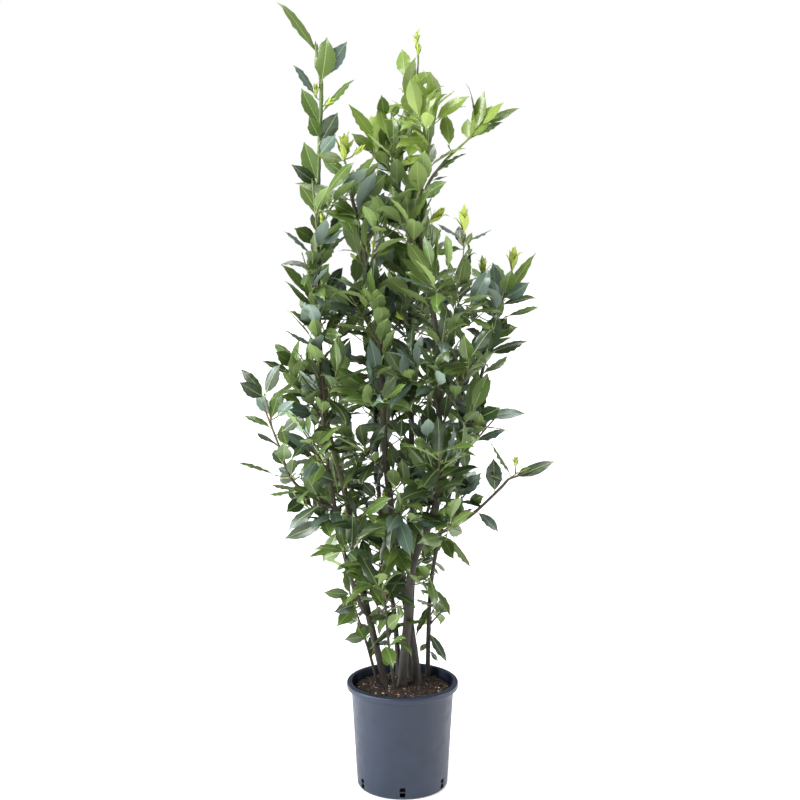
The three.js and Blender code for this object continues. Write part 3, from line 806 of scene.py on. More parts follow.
def side_twigs(stem, lowest, seed):
    """Side twigs set round a mass's stem by the golden turn, shorter towards its tip."""
    count = round(stem.length / SIDE_TWIG_SPACING)
    twigs = []
    for index in range(count):
        share = lowest + (SIDE_TWIG_TOP - lowest) * (index + SIDE_TWIG_OFFSET) / count
        side = stem.outward(share, stem.turn + index * GOLDEN_TURN)
        direction = unit(opened(stem.direction, side, SIDE_TWIG_ANGLE))
        length = stem.length * (LONGEST_SIDE_TWIG - SIDE_TWIG_TAPER * share)
        twigs.append(Twig(stem.way.at(share), direction, length, SIDE_TWIG_RADII,
                          seed + index + 1, SIDE_TWIG_BOW))
    return twigs


def spurs(parent, seed):
    """The finer twigs: short spurs that stand on a twig between its leaves."""
    lowest, highest = SPUR_STRETCH
    count = round(parent.length * (1 - lowest) / SPUR_SPACING)
    grown = []
    for index in range(count):
        share = lowest + (highest - lowest) * (index + 0.5) / count
        draw = random_from(seed + index)
        around = parent.turn + SPUR_TURN + index * GOLDEN_TURN + stray(draw, STRAY_AROUND)
        side = parent.outward(share, around)
        direction = unit(opened(parent.frame(share)[0], side, SPUR_ANGLE + stray(draw, STRAY_SPUR)))
        grown.append(Twig(parent.way.at(share), direction, between(draw, SPUR_LENGTHS),
                          SPUR_RADII, seed + index, SPUR_BOW))
    return grown


def limb_shoots(stretch):
    """Short shoots up a limb by the golden turn."""
    count = round(stretch.length / SHOOT_SPACING)
    shoots = []
    for index in range(count):
        share = (index + 0.5) / count
        side = stretch.outward(share, stretch.turn + index * GOLDEN_TURN)
        angle = SHOOT_ANGLE + stray(stretch.draw, STRAY_SHOOT)
        direction = unit(opened(stretch.tangent(share), side, angle))
        length = between(stretch.draw, SHOOT_LENGTHS)
        seed = int(stretch.draw() * SHOOT_SEEDS) + 1
        shoots.append(Twig(stretch.at(share), direction, length, SHOOT_RADII, seed, SIDE_TWIG_BOW))
    return shoots


def as_seen(spot):
    """Where a spot shows, as x and height in the plane through the pot's middle."""
    x, _, z = EYE + (spot - EYE) * -EYE[1] / (spot[1] - EYE[1])
    return x, z


def at_depth(x, z, depth):
    """The spot at that depth which shows at x and z."""
    return EYE + (np.array([x, 0, z]) - EYE) * (depth - EYE[1]) / -EYE[1]


def in_outline(spot):
    """Whether a spot keeps inside the crown's outline, and out of the sky in it."""
    x, z = as_seen(spot)
    heights, lefts, rights = zip(*OUTLINE)
    left = np.interp(z, heights, lefts) + OUTLINE_MARGIN
    right = np.interp(z, heights, rights) - OUTLINE_MARGIN
    if not left < x < right:
        return False
    return all(((x - sx) / wide) ** 2 + ((z - sz) / tall) ** 2 > 1 for sx, sz, wide, tall in SKY)


def make_room(stem):
    """The room a mass keeps to: an egg round its own stem, inside the crown's outline."""
    half = (UNDERREACH + stem.length + OVERREACH) / 2
    middle = stem.end + stem.direction * (OVERREACH - half)

    def inside(spot):
        if not in_outline(spot):
            return False
        offset = spot - middle
        lengthwise = offset @ stem.direction
        sideways = np.linalg.norm(offset - lengthwise * stem.direction)
        return (lengthwise / half) ** 2 + (sideways / SPREAD) ** 2 < 1
    return inside


# Leaves

class Crowd:
    """Points that are taken, in cells, to keep new leaves clear of them."""
    CELL = 24

    def __init__(self):
        self.cells = {}

    def key(self, point):
        return tuple(int(math.floor(value / self.CELL)) for value in point)

    def add(self, points, clearance):
        for point in points:
            self.cells.setdefault(self.key(point), []).append((*point, clearance))

    def is_clear(self, points):
        for point in points:
            x, y, z = self.key(point)
            for i in (x - 1, x, x + 1):
                for j in (y - 1, y, y + 1):
                    for k in (z - 1, z, z + 1):
                        for ax, ay, az, clear in self.cells.get((i, j, k), ()):
                            dx, dy, dz = ax - point[0], ay - point[1], az - point[2]
                            if dx * dx + dy * dy + dz * dz < clear * clear:
                                return False
        return True


def hang(height):
    return HANG * min(max((HANG_FROM - height) / (HANG_FROM - HANG_FULL), 0), 1)


def leaf_pose(twig, share, index):
    """One leaf's attitude: it stands out of its twig at an angle that closes towards the tip,
    with its upper side to the twig's tip and the sky."""
    draw = twig.draw
    around = twig.turn + index * GOLDEN_TURN + stray(draw, STRAY_AROUND)
    side = twig.outward(share, around)
    tangent = twig.frame(share)[0]
    root = twig.way.at(share)
    axis = opened(tangent, side, OPENING - OPENING_LOST * share ** 2 + stray(draw, STRAY_OPENING))
    sag = math.tan(math.radians(hang(root[2])))
    axis = unit(axis - UP * sag * between(draw, HANG_SHARES))
    upper = tangent + UP
    upper = unit(upper - axis * (upper @ axis))
    upper = rotated(upper, axis, stray(draw, STRAY_ROLL))
    length = LEAF_LENGTH * between(draw, LEAF_SIZES)
    spot = root + side * twig.radius(share) * STALK_FOOT
    return {"spot": spot, "axis": axis, "upper": upper, "length": length, "spray": twig.spray}


def midline(pose):
    """Points down the middle of a blade, for keeping leaves apart."""
    reach = np.array(MIDLINE_SHARES)[:, None] * pose["length"]
    return pose["spot"] + pose["axis"] * reach - UP * MIDLINE_SAG * reach ** 2 / pose["length"]


def leaves_on(twig, lowest, room, crowd, spacing=LEAF_SPACING, fewest=FEWEST_ON_TWIG):
    """Leaves up one twig by the golden turn. Each is tried a few ways, and is left out where
    it would leave the room, cross a limb or lie on another leaf."""
    count = max(fewest, round(twig.length * (1 - lowest) / spacing))
    grown = []
    for index in range(count + 1):
        share = lowest + (HIGHEST_LEAF - lowest) * index / count
        for attempt in range(LEAF_TRIES):
            pose = leaf_pose(twig, share, index + attempt)
            tip = pose["spot"] + pose["axis"] * pose["length"]
            points = midline(pose)
            if room(tip) and in_outline(points[2]) and crowd.is_clear(points):
                crowd.add(points, LEAF_CLEAR)
                grown.append(pose)
                break
    return grown


class Wood:
    """All the wood of one limb: points along it and its twigs, for what grows on it."""
    STEP = 4

    def __init__(self, limb):
        self.spots, self.twigs = [], []
        self.add(limb.way)

    def add(self, way):
        self.spots.extend(way.at(np.linspace(0, 1, max(3, int(way.length / self.STEP)))))

    def nearest(self, x, z):
        """The spot of the wood that shows nearest to x and z. Further off than a stalk's reach
        it is rather one below, and among like ones it is the one nearer to the eye."""
        spots = np.array(self.spots)
        share = -EYE[1] / (spots[:, 1] - EYE[1])
        across = EYE[0] + (spots[:, 0] - EYE[0]) * share - x
        above = EYE[2] + (spots[:, 2] - EYE[2]) * share - z
        distance = np.hypot(across, above)
        climb = np.maximum(above + distance / 2, 0)
        cost = distance + np.where(distance > REACH_OF_STALK, climb, 0)
        depth = np.maximum(spots[:, 1], NEAREST_DEPTH)
        best = int(np.argmin(cost + DEPTH_COST * depth))
        return spots[best], distance[best]

    def grow(self, points, radii, seed, bow=0.0):
        """A twig that starts on this wood and passes the points as they are seen."""
        root, _ = self.nearest(*points[0])
        line = [root] + [at_depth(x, z, root[1]) for x, z in points]
        if np.linalg.norm(line[1] - line[0]) < REACH_OF_STALK:
            line.pop(1)
        if len(line) < 2:
            line.append(root + UP * REACH_OF_STALK)
        reach = np.linalg.norm(line[-1] - root)
        twig = Twig(root, (line[-1] - root) / reach, reach, radii, seed, bow)
        if len(line) > 2:
            twig.way = Way(line)
        self.twigs.append(twig)
        self.add(twig.way)
        return twig


def seen_leaf(wood, row, number, draw):
    """One leaf that the photograph shows, set on the wood there, or on a short twig from it."""
    foot_x, foot_z, tip_x, tip_z, wide = row
    wide = wide * WIDER
    root, distance = wood.nearest(foot_x, foot_z)
    if distance > REACH_OF_STALK:
        wood.grow([(foot_x, foot_z)], SPUR_RADII, SEEN_SPUR_SEED + number, SEEN_SPUR_BOW)
    spot = root if distance <= REACH_OF_STALK else at_depth(foot_x, foot_z, root[1])
    tip = at_depth(tip_x, tip_z, spot[1])
    shown = np.linalg.norm(tip - spot)
    real = max(shown, between(draw, SEEN_LENGTHS)) if shown > SHORT_SEEN_LEAF else shown
    depth = -1 if draw() < LEANING_FORWARD else 1
    tip = tip + np.array([0, depth, 0]) * math.sqrt(real ** 2 - shown ** 2)
    axis = unit(tip - spot)
    width = max(wide / real, between(draw, LEAF_SHAPES) * min(1, LONGEST_FULL_LEAF / real))
    turn = math.degrees(math.acos(min(wide / (width * shown), 1)))
    facing = unit(EYE - spot)
    facing = unit(facing - axis * (facing @ axis))
    upper = max(rotated(facing, axis, turn), rotated(facing, axis, -turn), key=lambda way: way[2])
    if wide > FULL_FACED:
        spot = spot + facing * IN_FRONT
    return {"spot": spot, "axis": axis, "upper": upper, "length": real,
            "spray": number // LEAVES_TO_A_SPRAY, "width": min(width, WIDEST_SEEN_LEAF),
            "calm": SEEN_CALM}


def seen_growth(woods, crowd):
    """What the photograph shows leaf by leaf: shoots, then the leaves on them."""
    for name, shoots in SEEN_SHOOTS.items():
        for number, points in enumerate(shoots):
            woods[name].grow(points, SHOOT_RADII, SEEN_SHOOT_SEED + number)
    leaves = {}
    draw = random_from(SEEN_SEED)
    for name, rows in SEEN_LEAVES.items():
        leaves[name] = [seen_leaf(woods[name], row, number, draw)
                        for number, row in enumerate(rows)]
        for pose in leaves[name]:
            crowd.add(midline(pose), SEEN_LEAF_CLEAR)
    return leaves


def keep_clear_of(crowd, way, radius_at, clearance):
    shares = np.linspace(0, 1, max(3, int(way.length / CLEAR_STEP)))
    for share, point in zip(shares, way.at(shares)):
        crowd.add([point], radius_at(share) + clearance)


def stem_radii(mass, at, tip_radius):
    """The radii of a mass's stem: thick on from a limb's tip, thin on its side."""
    if mass == "left_tip":
        return tip_radius * LEADER_SHARE, LEADER_END
    return (tip_radius * TIP_STEM_SHARE, TIP_STEM_END) if at == 1.0 else SIDE_STEM_RADII


def make_masses(limbs, crowd):
    """The stem, side twigs and spurs of each mass, with nothing on them yet."""
    places = [(f"{name}_tip", name, 1.0, *rest) for name, rest in TIP_MASSES.items()]
    for name, rows in SIDE_MASSES.items():
        way = limbs[name].way
        places += [(f"{name}_{index + 1}", name, way.share_at(row[0]), *row[1:])
                   for index, row in enumerate(rows)]
    masses = []
    for index, (name, limb, at, bearing, rise, reach) in enumerate(places):
        seed = FIRST_SEED + SEED_STEP * index
        radii = stem_radii(name, at, limbs[limb].tip)
        stem = Twig(limbs[limb].way.at(at), heading(bearing, rise), reach, radii, seed)
        if name in SEEN_STEMS:
            bend(stem, SEEN_STEMS[name])
        room = make_room(stem)
        lowest, spacing = LOWEST_ON_TIP if at == 1.0 else LOWEST_ON_SIDE, LEAF_SPACING
        sides, fine = [], []
        if name in PLAIN_SHOOTS:
            lowest, spacing = PLAIN_SHOOTS[name]
        else:
            sides = [twig for twig in side_twigs(stem, lowest, seed) if room(twig.end)]
        for order, twig in enumerate([stem, *sides] if sides else []):
            fine += [spur for spur in spurs(twig, seed + SPUR_SEED + SPURS_APART * order)
                     if room(spur.end)]
        for twig in [stem, *sides]:
            keep_clear_of(crowd, twig.way, twig.radius, CLEAR_OF_TWIG)
        masses.append({"name": name, "limb": limb, "stem": stem, "sides": sides, "spurs": fine,
                       "lowest": lowest, "spacing": spacing, "room": room, "leaves": []})
    return masses


def clothe_masses(masses, crowd):
    """Leaves on the stems and side twigs of all masses, and then on their spurs."""
    for mass in masses:
        mass["leaves"] += leaves_on(mass["stem"], mass["lowest"], mass["room"], crowd,
                                    mass["spacing"])
        for twig in mass["sides"]:
            mass["leaves"] += leaves_on(twig, LOWEST_ON_TWIG, mass["room"], crowd)
    for mass in masses:
        for spur in mass["spurs"]:
            found = leaves_on(spur, LOWEST_ON_SPUR, mass["room"], crowd, SPUR_LEAF_SPACING,
                              FEWEST_ON_SPUR)
            spur.bare = not found
            mass["leaves"] += found


def clothe_limbs(limbs, crowd, seen):
    """The leaves and shoots that limbs bear between their masses, after the leaves seen."""
    extra = {name: {"leaves": seen.get(name, []), "shoots": []} for name in limbs}
    for index, (name, (low, leafy, high)) in enumerate(LEAFY_LIMBS.items()):
        seed = FIRST_SEED + SEED_STEP * (LIMB_SEED_PLACE + index)
        found = leaves_on(LimbStretch(limbs[name], leafy, high, seed), 0.0, in_outline, crowd,
                          LIMB_LEAF_SPACING)
        shoots = limb_shoots(LimbStretch(limbs[name], low, high, seed + SHOOT_SEED_STEP))
        shoots = [shoot for shoot in shoots if in_outline(shoot.end)]
        for shoot in shoots:
            found += leaves_on(shoot, LOWEST_ON_TWIG, in_outline, crowd)
        extra[name]["leaves"] += found
        extra[name]["shoots"] += shoots
    return extra


def grow():
    """The whole bush: limbs and twigs by the rule of the solids, then what the photograph shows
    leaf by leaf, then the other leaves by that rule, and last the tufts."""
    limbs = make_limbs()
    crowd = Crowd()
    for limb in limbs.values():
        keep_clear_of(crowd, limb.way, limb.radius, CLEAR_OF_LIMB)
    masses = make_masses(limbs, crowd)
    woods = {name: Wood(limb) for name, limb in limbs.items()}
    for mass in masses:
        for twig in (mass["stem"], *mass["sides"]):
            woods[mass["limb"]].add(twig.way)
    seen = seen_growth(woods, crowd)
    clothe_masses(masses, crowd)
    extra = clothe_limbs(limbs, crowd, seen)
    tufts = [(name, woods[name].grow([(x, z)], STALK_RADII, TUFT_STALK_SEED + index, STALK_BOW),
              size) for index, (name, x, z, size) in enumerate(TUFTS)]
    for name, wood in woods.items():
        extra[name]["shoots"] += wood.twigs
    return limbs, masses, extra, tufts


# Meshes

class Shape:
    """Vertices and faces gathered for one piece, each face with its material's place."""

    def __init__(self):
        self.vertices, self.faces, self.slots = [], [], []

    def add(self, vertices, faces, slots=0):
        first = len(self.vertices)
        self.vertices.extend(np.asarray(vertices).tolist())
        self.faces.extend([vertex + first for vertex in face] for face in faces)
        self.slots.extend(slots if hasattr(slots, "__len__") else [slots] * len(faces))


def put_in_scene(name, data):
    thing = bpy.data.objects.new(name, data)
    bpy.context.scene.collection.objects.link(thing)
    return thing


def loose_object(name, shape):
    """A shape's mesh in the scene, not yet declared as a piece."""
    mesh = bpy.data.meshes.new(name)
    mesh.from_pydata((np.array(shape.vertices) * MM).tolist(), [], shape.faces)
    return put_in_scene(name, mesh)


def evaluated_mesh(thing):
    """A plain mesh of what an object's modifiers make of it."""
    graph = bpy.context.evaluated_depsgraph_get()
    return bpy.data.meshes.new_from_object(thing.evaluated_get(graph))


def declare(piece, nodes):
    """A piece rides the one body and stands for the solids of those nodes."""
    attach(piece, "root")
    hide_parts(*nodes)


def make_piece(name, shape, materials, nodes):
    """One piece of the bush, in place of the solids of those nodes."""
    piece = loose_object(name, shape)
    for material in materials:
        piece.data.materials.append(material)
    piece.data.polygons.foreach_set("material_index", np.array(shape.slots, np.int32))
    piece.data.shade_smooth()
    declare(piece, nodes)
    return piece


def hashed(cells, seed):
    """A number from 0 to 1 for each cell of space, scattered by large odd factors."""
    mixed = cells @ np.array([73856093, 19349663, 83492791]) + seed * 9781
    mixed = (mixed ^ (mixed >> 11)) * 1274126177 & 0x7fffffff
    mixed = (mixed ^ (mixed >> 15)) * 97931 & 0x7fffffff
    return (mixed >> 7 & 0xffff) / 0xffff


def noise(points, size, seed=0):
    """Smooth noise from -1 to 1 whose bumps are about that size."""
    cells = np.asarray(points, float) / size
    low = np.floor(cells).astype(np.int64)
    part = cells - low
    part = part * part * (3 - 2 * part)
    total = 0
    for corner in np.ndindex(2, 2, 2):
        weight = np.prod(np.where(corner, part, 1 - part), axis=-1)
        total = total + weight * hashed(low + np.array(corner), seed)
    return 2 * total - 1


def tube(points, radii, sides):
    """Rings round a line of points, closed at both ends. The rings turn as little as they can.
    The radii are one for each ring, or one for each vertex."""
    points = np.asarray(points, float)
    radii = np.asarray(radii, float)
    if radii.ndim == 1:
        radii = np.repeat(radii[:, None], sides, axis=1)
    tangents = np.gradient(points, axis=0)
    tangents /= np.linalg.norm(tangents, axis=1)[:, None]
    across = np.cross(tangents[0], NO_LIMBS_WAY)
    angles = np.arange(sides) * 2 * math.pi / sides
    rings = []
    for point, tangent, radius in zip(points, tangents, radii):
        across = unit(across - tangent * (across @ tangent))
        other = np.cross(tangent, across)
        spokes = np.cos(angles)[:, None] * across + np.sin(angles)[:, None] * other
        rings.append(point + spokes * radius[:, None])
    faces = [list(range(sides))[::-1]]
    for ring in range(len(points) - 1):
        low, high = ring * sides, (ring + 1) * sides
        faces += [(low + k, low + (k + 1) % sides, high + (k + 1) % sides, high + k)
                  for k in range(sides)]
    faces.append([(len(points) - 1) * sides + k for k in range(sides)])
    return np.concatenate(rings), faces


def lathe(profile, segments):
    """A profile of radius and height turned round Z. It runs from axis to axis, up the outside."""
    inner = np.array(profile[1:-1], float)
    angles = np.arange(segments) * 2 * math.pi / segments
    rings = np.stack([inner[:, 0, None] * np.cos(angles), inner[:, 0, None] * np.sin(angles),
                      np.repeat(inner[:, 1, None], segments, axis=1)], -1)
    vertices = [(0, 0, profile[0][1]), *rings.reshape(-1, 3), (0, 0, profile[-1][1])]
    last = len(vertices) - 1
    faces = []
    for k in range(segments):
        after = (k + 1) % segments
        faces.append((0, 1 + after, 1 + k))
        for ring in range(len(inner) - 1):
            low, high = 1 + ring * segments, 1 + (ring + 1) * segments
            faces.append((low + k, low + after, high + after, high + k))
        top = 1 + (len(inner) - 1) * segments
        faces.append((top + k, top + after, last))
    return np.array(vertices, float), faces


def arc(centre, radius, start, stop, steps):
    """Points on an arc, by degrees from the first axis."""
    angles = np.radians(np.linspace(start, stop, steps + 1))
    return [(centre[0] + radius * math.cos(a), centre[1] + radius * math.sin(a)) for a in angles]


# Materials

def linear(colour):
    """A colour written as hex sRGB, as the linear values that a shader takes."""
    parts = [int(colour[k:k + 2], 16) / 255 for k in (0, 2, 4)]
    return (*[part / 12.92 if part <= 0.04045 else ((part + 0.055) / 1.055) ** 2.4
              for part in parts], 1.0)


def add(tree, kind, sockets=None, links=None, **settings):
    """Adds one node, with its settings, the values of its sockets and what is linked to them."""
    node = tree.nodes.new(kind)
    for name, value in settings.items():
        setattr(node, name, value)
    for name, value in (sockets or {}).items():
        node.inputs[name].default_value = value
    for name, source in (links or {}).items():
        tree.links.new(source, node.inputs[name])
    return node


def new_material(name, **sockets):
    """A material with a Principled shader, whose sockets are given with _ for a space."""
    material = bpy.data.materials.new(name)
    material.use_nodes = True
    shader = material.node_tree.nodes["Principled BSDF"]
    for key, value in sockets.items():
        shader.inputs[key.replace("_", " ")].default_value = value
    return material, material.node_tree, shader


def per_metre(size):
    """The scale of a pattern whose bumps are that many millimetres."""
    return 1 / (size * MM)


def noise_node(tree, size, detail=3.0, rough=0.55, stretch=None):
    """Noise in the bush's own frame. A stretch makes its bumps longer along one axis."""
    place = add(tree, "ShaderNodeTexCoord").outputs["Object"]
    if stretch:
        place = add(tree, "ShaderNodeVectorMath", {1: stretch}, {0: place},
                    operation="MULTIPLY").outputs[0]
    return add(tree, "ShaderNodeTexNoise",
               {"Scale": per_metre(size), "Detail": detail, "Roughness": rough},
               {"Vector": place}).outputs["Fac"]


def ramp_node(tree, source, stops):
    """Colours, or greys, along a value: stops are (place, hex colour)."""
    node = add(tree, "ShaderNodeValToRGB", links={"Fac": source})
    stretch = node.color_ramp
    while len(stretch.elements) < len(stops):
        stretch.elements.new(0.5)
    for element, (place, colour) in zip(stretch.elements, stops):
        element.position = place
        element.color = linear(colour)
    return node.outputs["Color"]


def mix_node(tree, share, first, second):
    """One colour laid over another by a share, each a socket or a plain value."""
    node = add(tree, "ShaderNodeMix", data_type="RGBA")
    for socket, value in ((0, share), (6, first), (7, second)):
        if isinstance(value, bpy.types.NodeSocket):
            tree.links.new(value, node.inputs[socket])
        else:
            node.inputs[socket].default_value = value
    return node.outputs[2]


def bump_node(tree, height, depth, before=None):
    """A bump of that depth in millimetres."""
    links = {"Height": height}
    if before is not None:
        links["Normal"] = before
    return add(tree, "ShaderNodeBump", {"Strength": 1.0, "Distance": depth * MM},
               links).outputs["Normal"]


def range_node(tree, value, low, high, start=0.0, stop=1.0):
    """A value that goes from low to high as another goes from start to stop."""
    return add(tree, "ShaderNodeMapRange",
               {"From Min": start, "From Max": stop, "To Min": low, "To Max": high},
               {"Value": value}).outputs["Result"]


def height_share(tree, low, high):
    """0 to 1 from one height to another, in millimetres."""
    place = add(tree, "ShaderNodeTexCoord").outputs["Object"]
    height = add(tree, "ShaderNodeSeparateXYZ", links={0: place}).outputs["Z"]
    return range_node(tree, height, 0.0, 1.0, low * MM, high * MM)


def pot_plastic():
    # Moulded polypropylene, blue-grey with a satin skin, a little dusty and scuffed.
    material, tree, shader = new_material("Satin blue-grey polypropylene",
                                          Specular_IOR_Level=0.45)
    clouds = ramp_node(tree, noise_node(tree, 60, 4.0), [(0.3, "131e30"), (0.7, "1a273a")])
    dust = ramp_node(tree, noise_node(tree, 9, 6.0, 0.7), [(0.55, "000000"), (0.8, "3a3a3a")])
    dusty = mix_node(tree, dust, clouds, linear("3e485b"))
    tree.links.new(dusty, shader.inputs["Base Color"])
    rough = ramp_node(tree, noise_node(tree, 22, 5.0, 0.65), [(0.3, "9a9a9a"), (0.75, "c0c0c0")])
    tree.links.new(rough, shader.inputs["Roughness"])
    grain = bump_node(tree, noise_node(tree, 1.4, 2.0), 0.06)
    tree.links.new(grain, shader.inputs["Normal"])
    return material


def compost():
    # Moist potting compost of fine bark and coir.
    material, tree, shader = new_material("Moist bark and coir compost", Roughness=0.92)
    crumbs = ramp_node(tree, noise_node(tree, 5, 6.0, 0.7),
                       [(0.3, "14100d"), (0.52, "2a2019"), (0.72, "4e3c2f")])
    tree.links.new(crumbs, shader.inputs["Base Color"])
    tree.links.new(bump_node(tree, noise_node(tree, 3, 6.0, 0.7), 1.6), shader.inputs["Normal"])
    return material


def chip(name, light, dark, rough):
    # Broken chips of bark, coir or grit lying on the compost.
    material, tree, shader = new_material(name, Roughness=rough)
    grain = ramp_node(tree, noise_node(tree, 2.5, 4.0, 0.6), [(0.35, dark), (0.7, light)])
    tree.links.new(grain, shader.inputs["Base Color"])
    tree.links.new(bump_node(tree, noise_node(tree, 1.2, 3.0), 0.25), shader.inputs["Normal"])
    return material


def bark(kind):
    # Smooth laurel bark, browner below and greener above, with faint streaks and pale marks.
    name, low, high, marks, stops = BARKS[kind]
    material, tree, shader = new_material(name, Roughness=0.7)
    along = height_share(tree, low, high)
    base = ramp_node(tree, along, stops)
    streaks = noise_node(tree, 5, 5.0, 0.65, (1, 1, 0.22))
    shaded = mix_node(tree, ramp_node(tree, streaks, [(0.35, "000000"), (0.7, "b4b4b4")]),
                      base, mix_node(tree, 0.4, base, linear("5f5a4b")))
    blots = ramp_node(tree, noise_node(tree, 11, 6.0, 0.7), [(0.58, "000000"), (0.68, marks)])
    spotted = mix_node(tree, blots, shaded, linear("686a5a"))
    tree.links.new(spotted, shader.inputs["Base Color"])
    ridges = bump_node(tree, noise_node(tree, 2.6, 5.0, 0.65, (1, 1, 0.25)), 0.5)
    pores = bump_node(tree, noise_node(tree, 1.3, 2.0), 0.18, ridges)
    tree.links.new(pores, shader.inputs["Normal"])
    return material


def blade(name, colour, rough=0.31):
    # The waxy upper side of a laurel leaf, one even green to a tone, with a soft gloss.
    return new_material(name, Base_Color=linear(colour), Roughness=rough,
                        Specular_IOR_Level=0.6)[0]


def underside(name, colour):
    # The matt, paler underside of a leaf.
    return new_material(name, Base_Color=linear(colour), Roughness=0.5,
                        Specular_IOR_Level=0.4)[0]


# Pot and compost

def pot_radius(height):
    return FOOT_RADIUS + (NECK_RADIUS - FOOT_RADIUS) * height / (POT_HEIGHT - LIP_HEIGHT)


def pot_profile():
    """From the middle of the underside, up the outside, over the rolled rim and down inside."""
    under_lip = POT_HEIGHT - LIP_HEIGHT
    inside = pot_radius(POT_HEIGHT) - WALL
    foot = pot_radius(FOOT_ROUNDING) - FOOT_ROUNDING
    fillet_at = under_lip - NECK_FILLET
    neck = pot_radius(fillet_at) + NECK_FILLET
    corner_at = FLOOR + INNER_CORNER
    corner = pot_radius(corner_at) - WALL - INNER_CORNER
    points = [(0, 0), (UNDERSIDE_RING, 0)]
    points += arc((foot, FOOT_ROUNDING), FOOT_ROUNDING, -90, 0, ROUND_STEPS)
    points += [(pot_radius(h), h)
               for h in range(2 * FOOT_ROUNDING, int(fillet_at) - WALL_MARGIN, WALL_STEP)]
    points += arc((neck, fillet_at), NECK_FILLET, 180, 90, CORNER_STEPS)
    points += arc((RIM_RADIUS - LIP_CORNER, under_lip + LIP_CORNER), LIP_CORNER, -90, 0, LIP_STEPS)
    points += arc((RIM_RADIUS - ROLL_RADIUS, POT_HEIGHT - ROLL_RADIUS), ROLL_RADIUS, 0, 90,
                  ROUND_STEPS)
    points += arc((inside + INNER_ROLL, POT_HEIGHT - INNER_ROLL), INNER_ROLL, 90, 180,
                  CORNER_STEPS)
    points += [(pot_radius(h) - WALL, h)
               for h in range(POT_HEIGHT - WALL_STEP, corner_at + WALL_MARGIN, -WALL_STEP)]
    points += arc((corner, corner_at), INNER_CORNER, 0, -90, CORNER_STEPS)
    return [*points, (UNDERSIDE_RING, FLOOR), (0, FLOOR)]


def slot_outline():
    """One drain slot seen from outside, as x and z round its middle."""
    half, tall = SLOT_WIDTH / 2 - SLOT_CORNER, SLOT_HEIGHT / 2 - SLOT_CORNER
    corners = ((half, tall, 0), (-half, tall, 90), (-half, -tall, 180), (half, -tall, 270))
    return [spot for x, z, turn in corners
            for spot in arc((x, z), SLOT_CORNER, turn, turn + 90, CORNER_STEPS)]


def slot_block(angle, inner, outer, outline):
    """A block of that outline, standing out along the radius at that angle."""
    out = np.array([math.cos(angle), math.sin(angle), 0])
    across = np.array([-math.sin(angle), math.cos(angle), 0])
    middle = UP * (SLOT_SILL + SLOT_HEIGHT / 2)
    rings = [[middle + out * depth + across * x + UP * z for x, z in outline]
             for depth in (inner, outer)]
    count = len(outline)
    faces = [list(range(count))[::-1], list(range(count, 2 * count))]
    faces += [(k, (k + 1) % count, count + (k + 1) % count, count + k) for k in range(count)]
    return np.concatenate(rings), faces


def slot_angles():
    return [math.radians(FRONT + 360 * k / DRAIN_SLOTS) for k in range(DRAIN_SLOTS)]


def cut(piece, cutter):
    """Takes the cutter out of the piece, and the cutter out of the scene."""
    modifier = piece.modifiers.new("cut", "BOOLEAN")
    modifier.object = cutter
    modifier.operation = "DIFFERENCE"
    modifier.solver = "EXACT"
    made = evaluated_mesh(piece)
    piece.modifiers.remove(modifier)
    piece.data = made
    bpy.data.objects.remove(cutter)


def make_pot():
    """The pot with its drain slots cut through, and the bar across each slot."""
    body, cutters, bars = Shape(), Shape(), Shape()
    body.add(*lathe(pot_profile(), POT_SEGMENTS))
    half = SLOT_WIDTH / 2 + BAR_OVERLAP
    bar = [(x * half, z * SLOT_BAR / 2) for x, z in ((-1, -1), (1, -1), (1, 1), (-1, 1))]
    wall = pot_radius(SLOT_SILL + SLOT_HEIGHT / 2)
    inner, outer = BAR_DEPTHS
    for angle in slot_angles():
        cutters.add(*slot_block(angle, FOOT_RADIUS - CUTTER_REACH, FOOT_RADIUS + CUTTER_REACH,
                                slot_outline()))
        bars.add(*slot_block(angle, wall - WALL - inner, wall - outer, bar))
    pot = loose_object("nursery_pot", body)
    cut(pot, loose_object("slot_cutters", cutters))
    plastic = pot_plastic()
    for thing in (pot, loose_object("slot_bars", bars)):
        thing.data.materials.clear()
        thing.data.materials.append(plastic)
        thing.data.shade_smooth()
        thing.data.set_sharp_from_angle(angle=math.radians(POT_CREASE))
        declare(thing, ["pot"])


def soil_surface(x, y):
    """The height of the compost: a low mound, uneven like poured crumbs."""
    radius = np.hypot(x, y)
    wall = pot_radius(SOIL_EDGE) - WALL - SOIL_CLEAR
    slope = np.clip((radius - SOIL_CROWN_RADIUS) / (wall - SOIL_CROWN_RADIUS), 0, 1)
    height = SOIL_TOP - (SOIL_TOP - SOIL_EDGE) * slope ** SOIL_SLOPE
    spots = np.stack([x, y, np.zeros_like(x)], -1)
    bumps = sum(noise(spots, size, seed) * depth for size, seed, depth in SOIL_BUMPS)
    return height + bumps


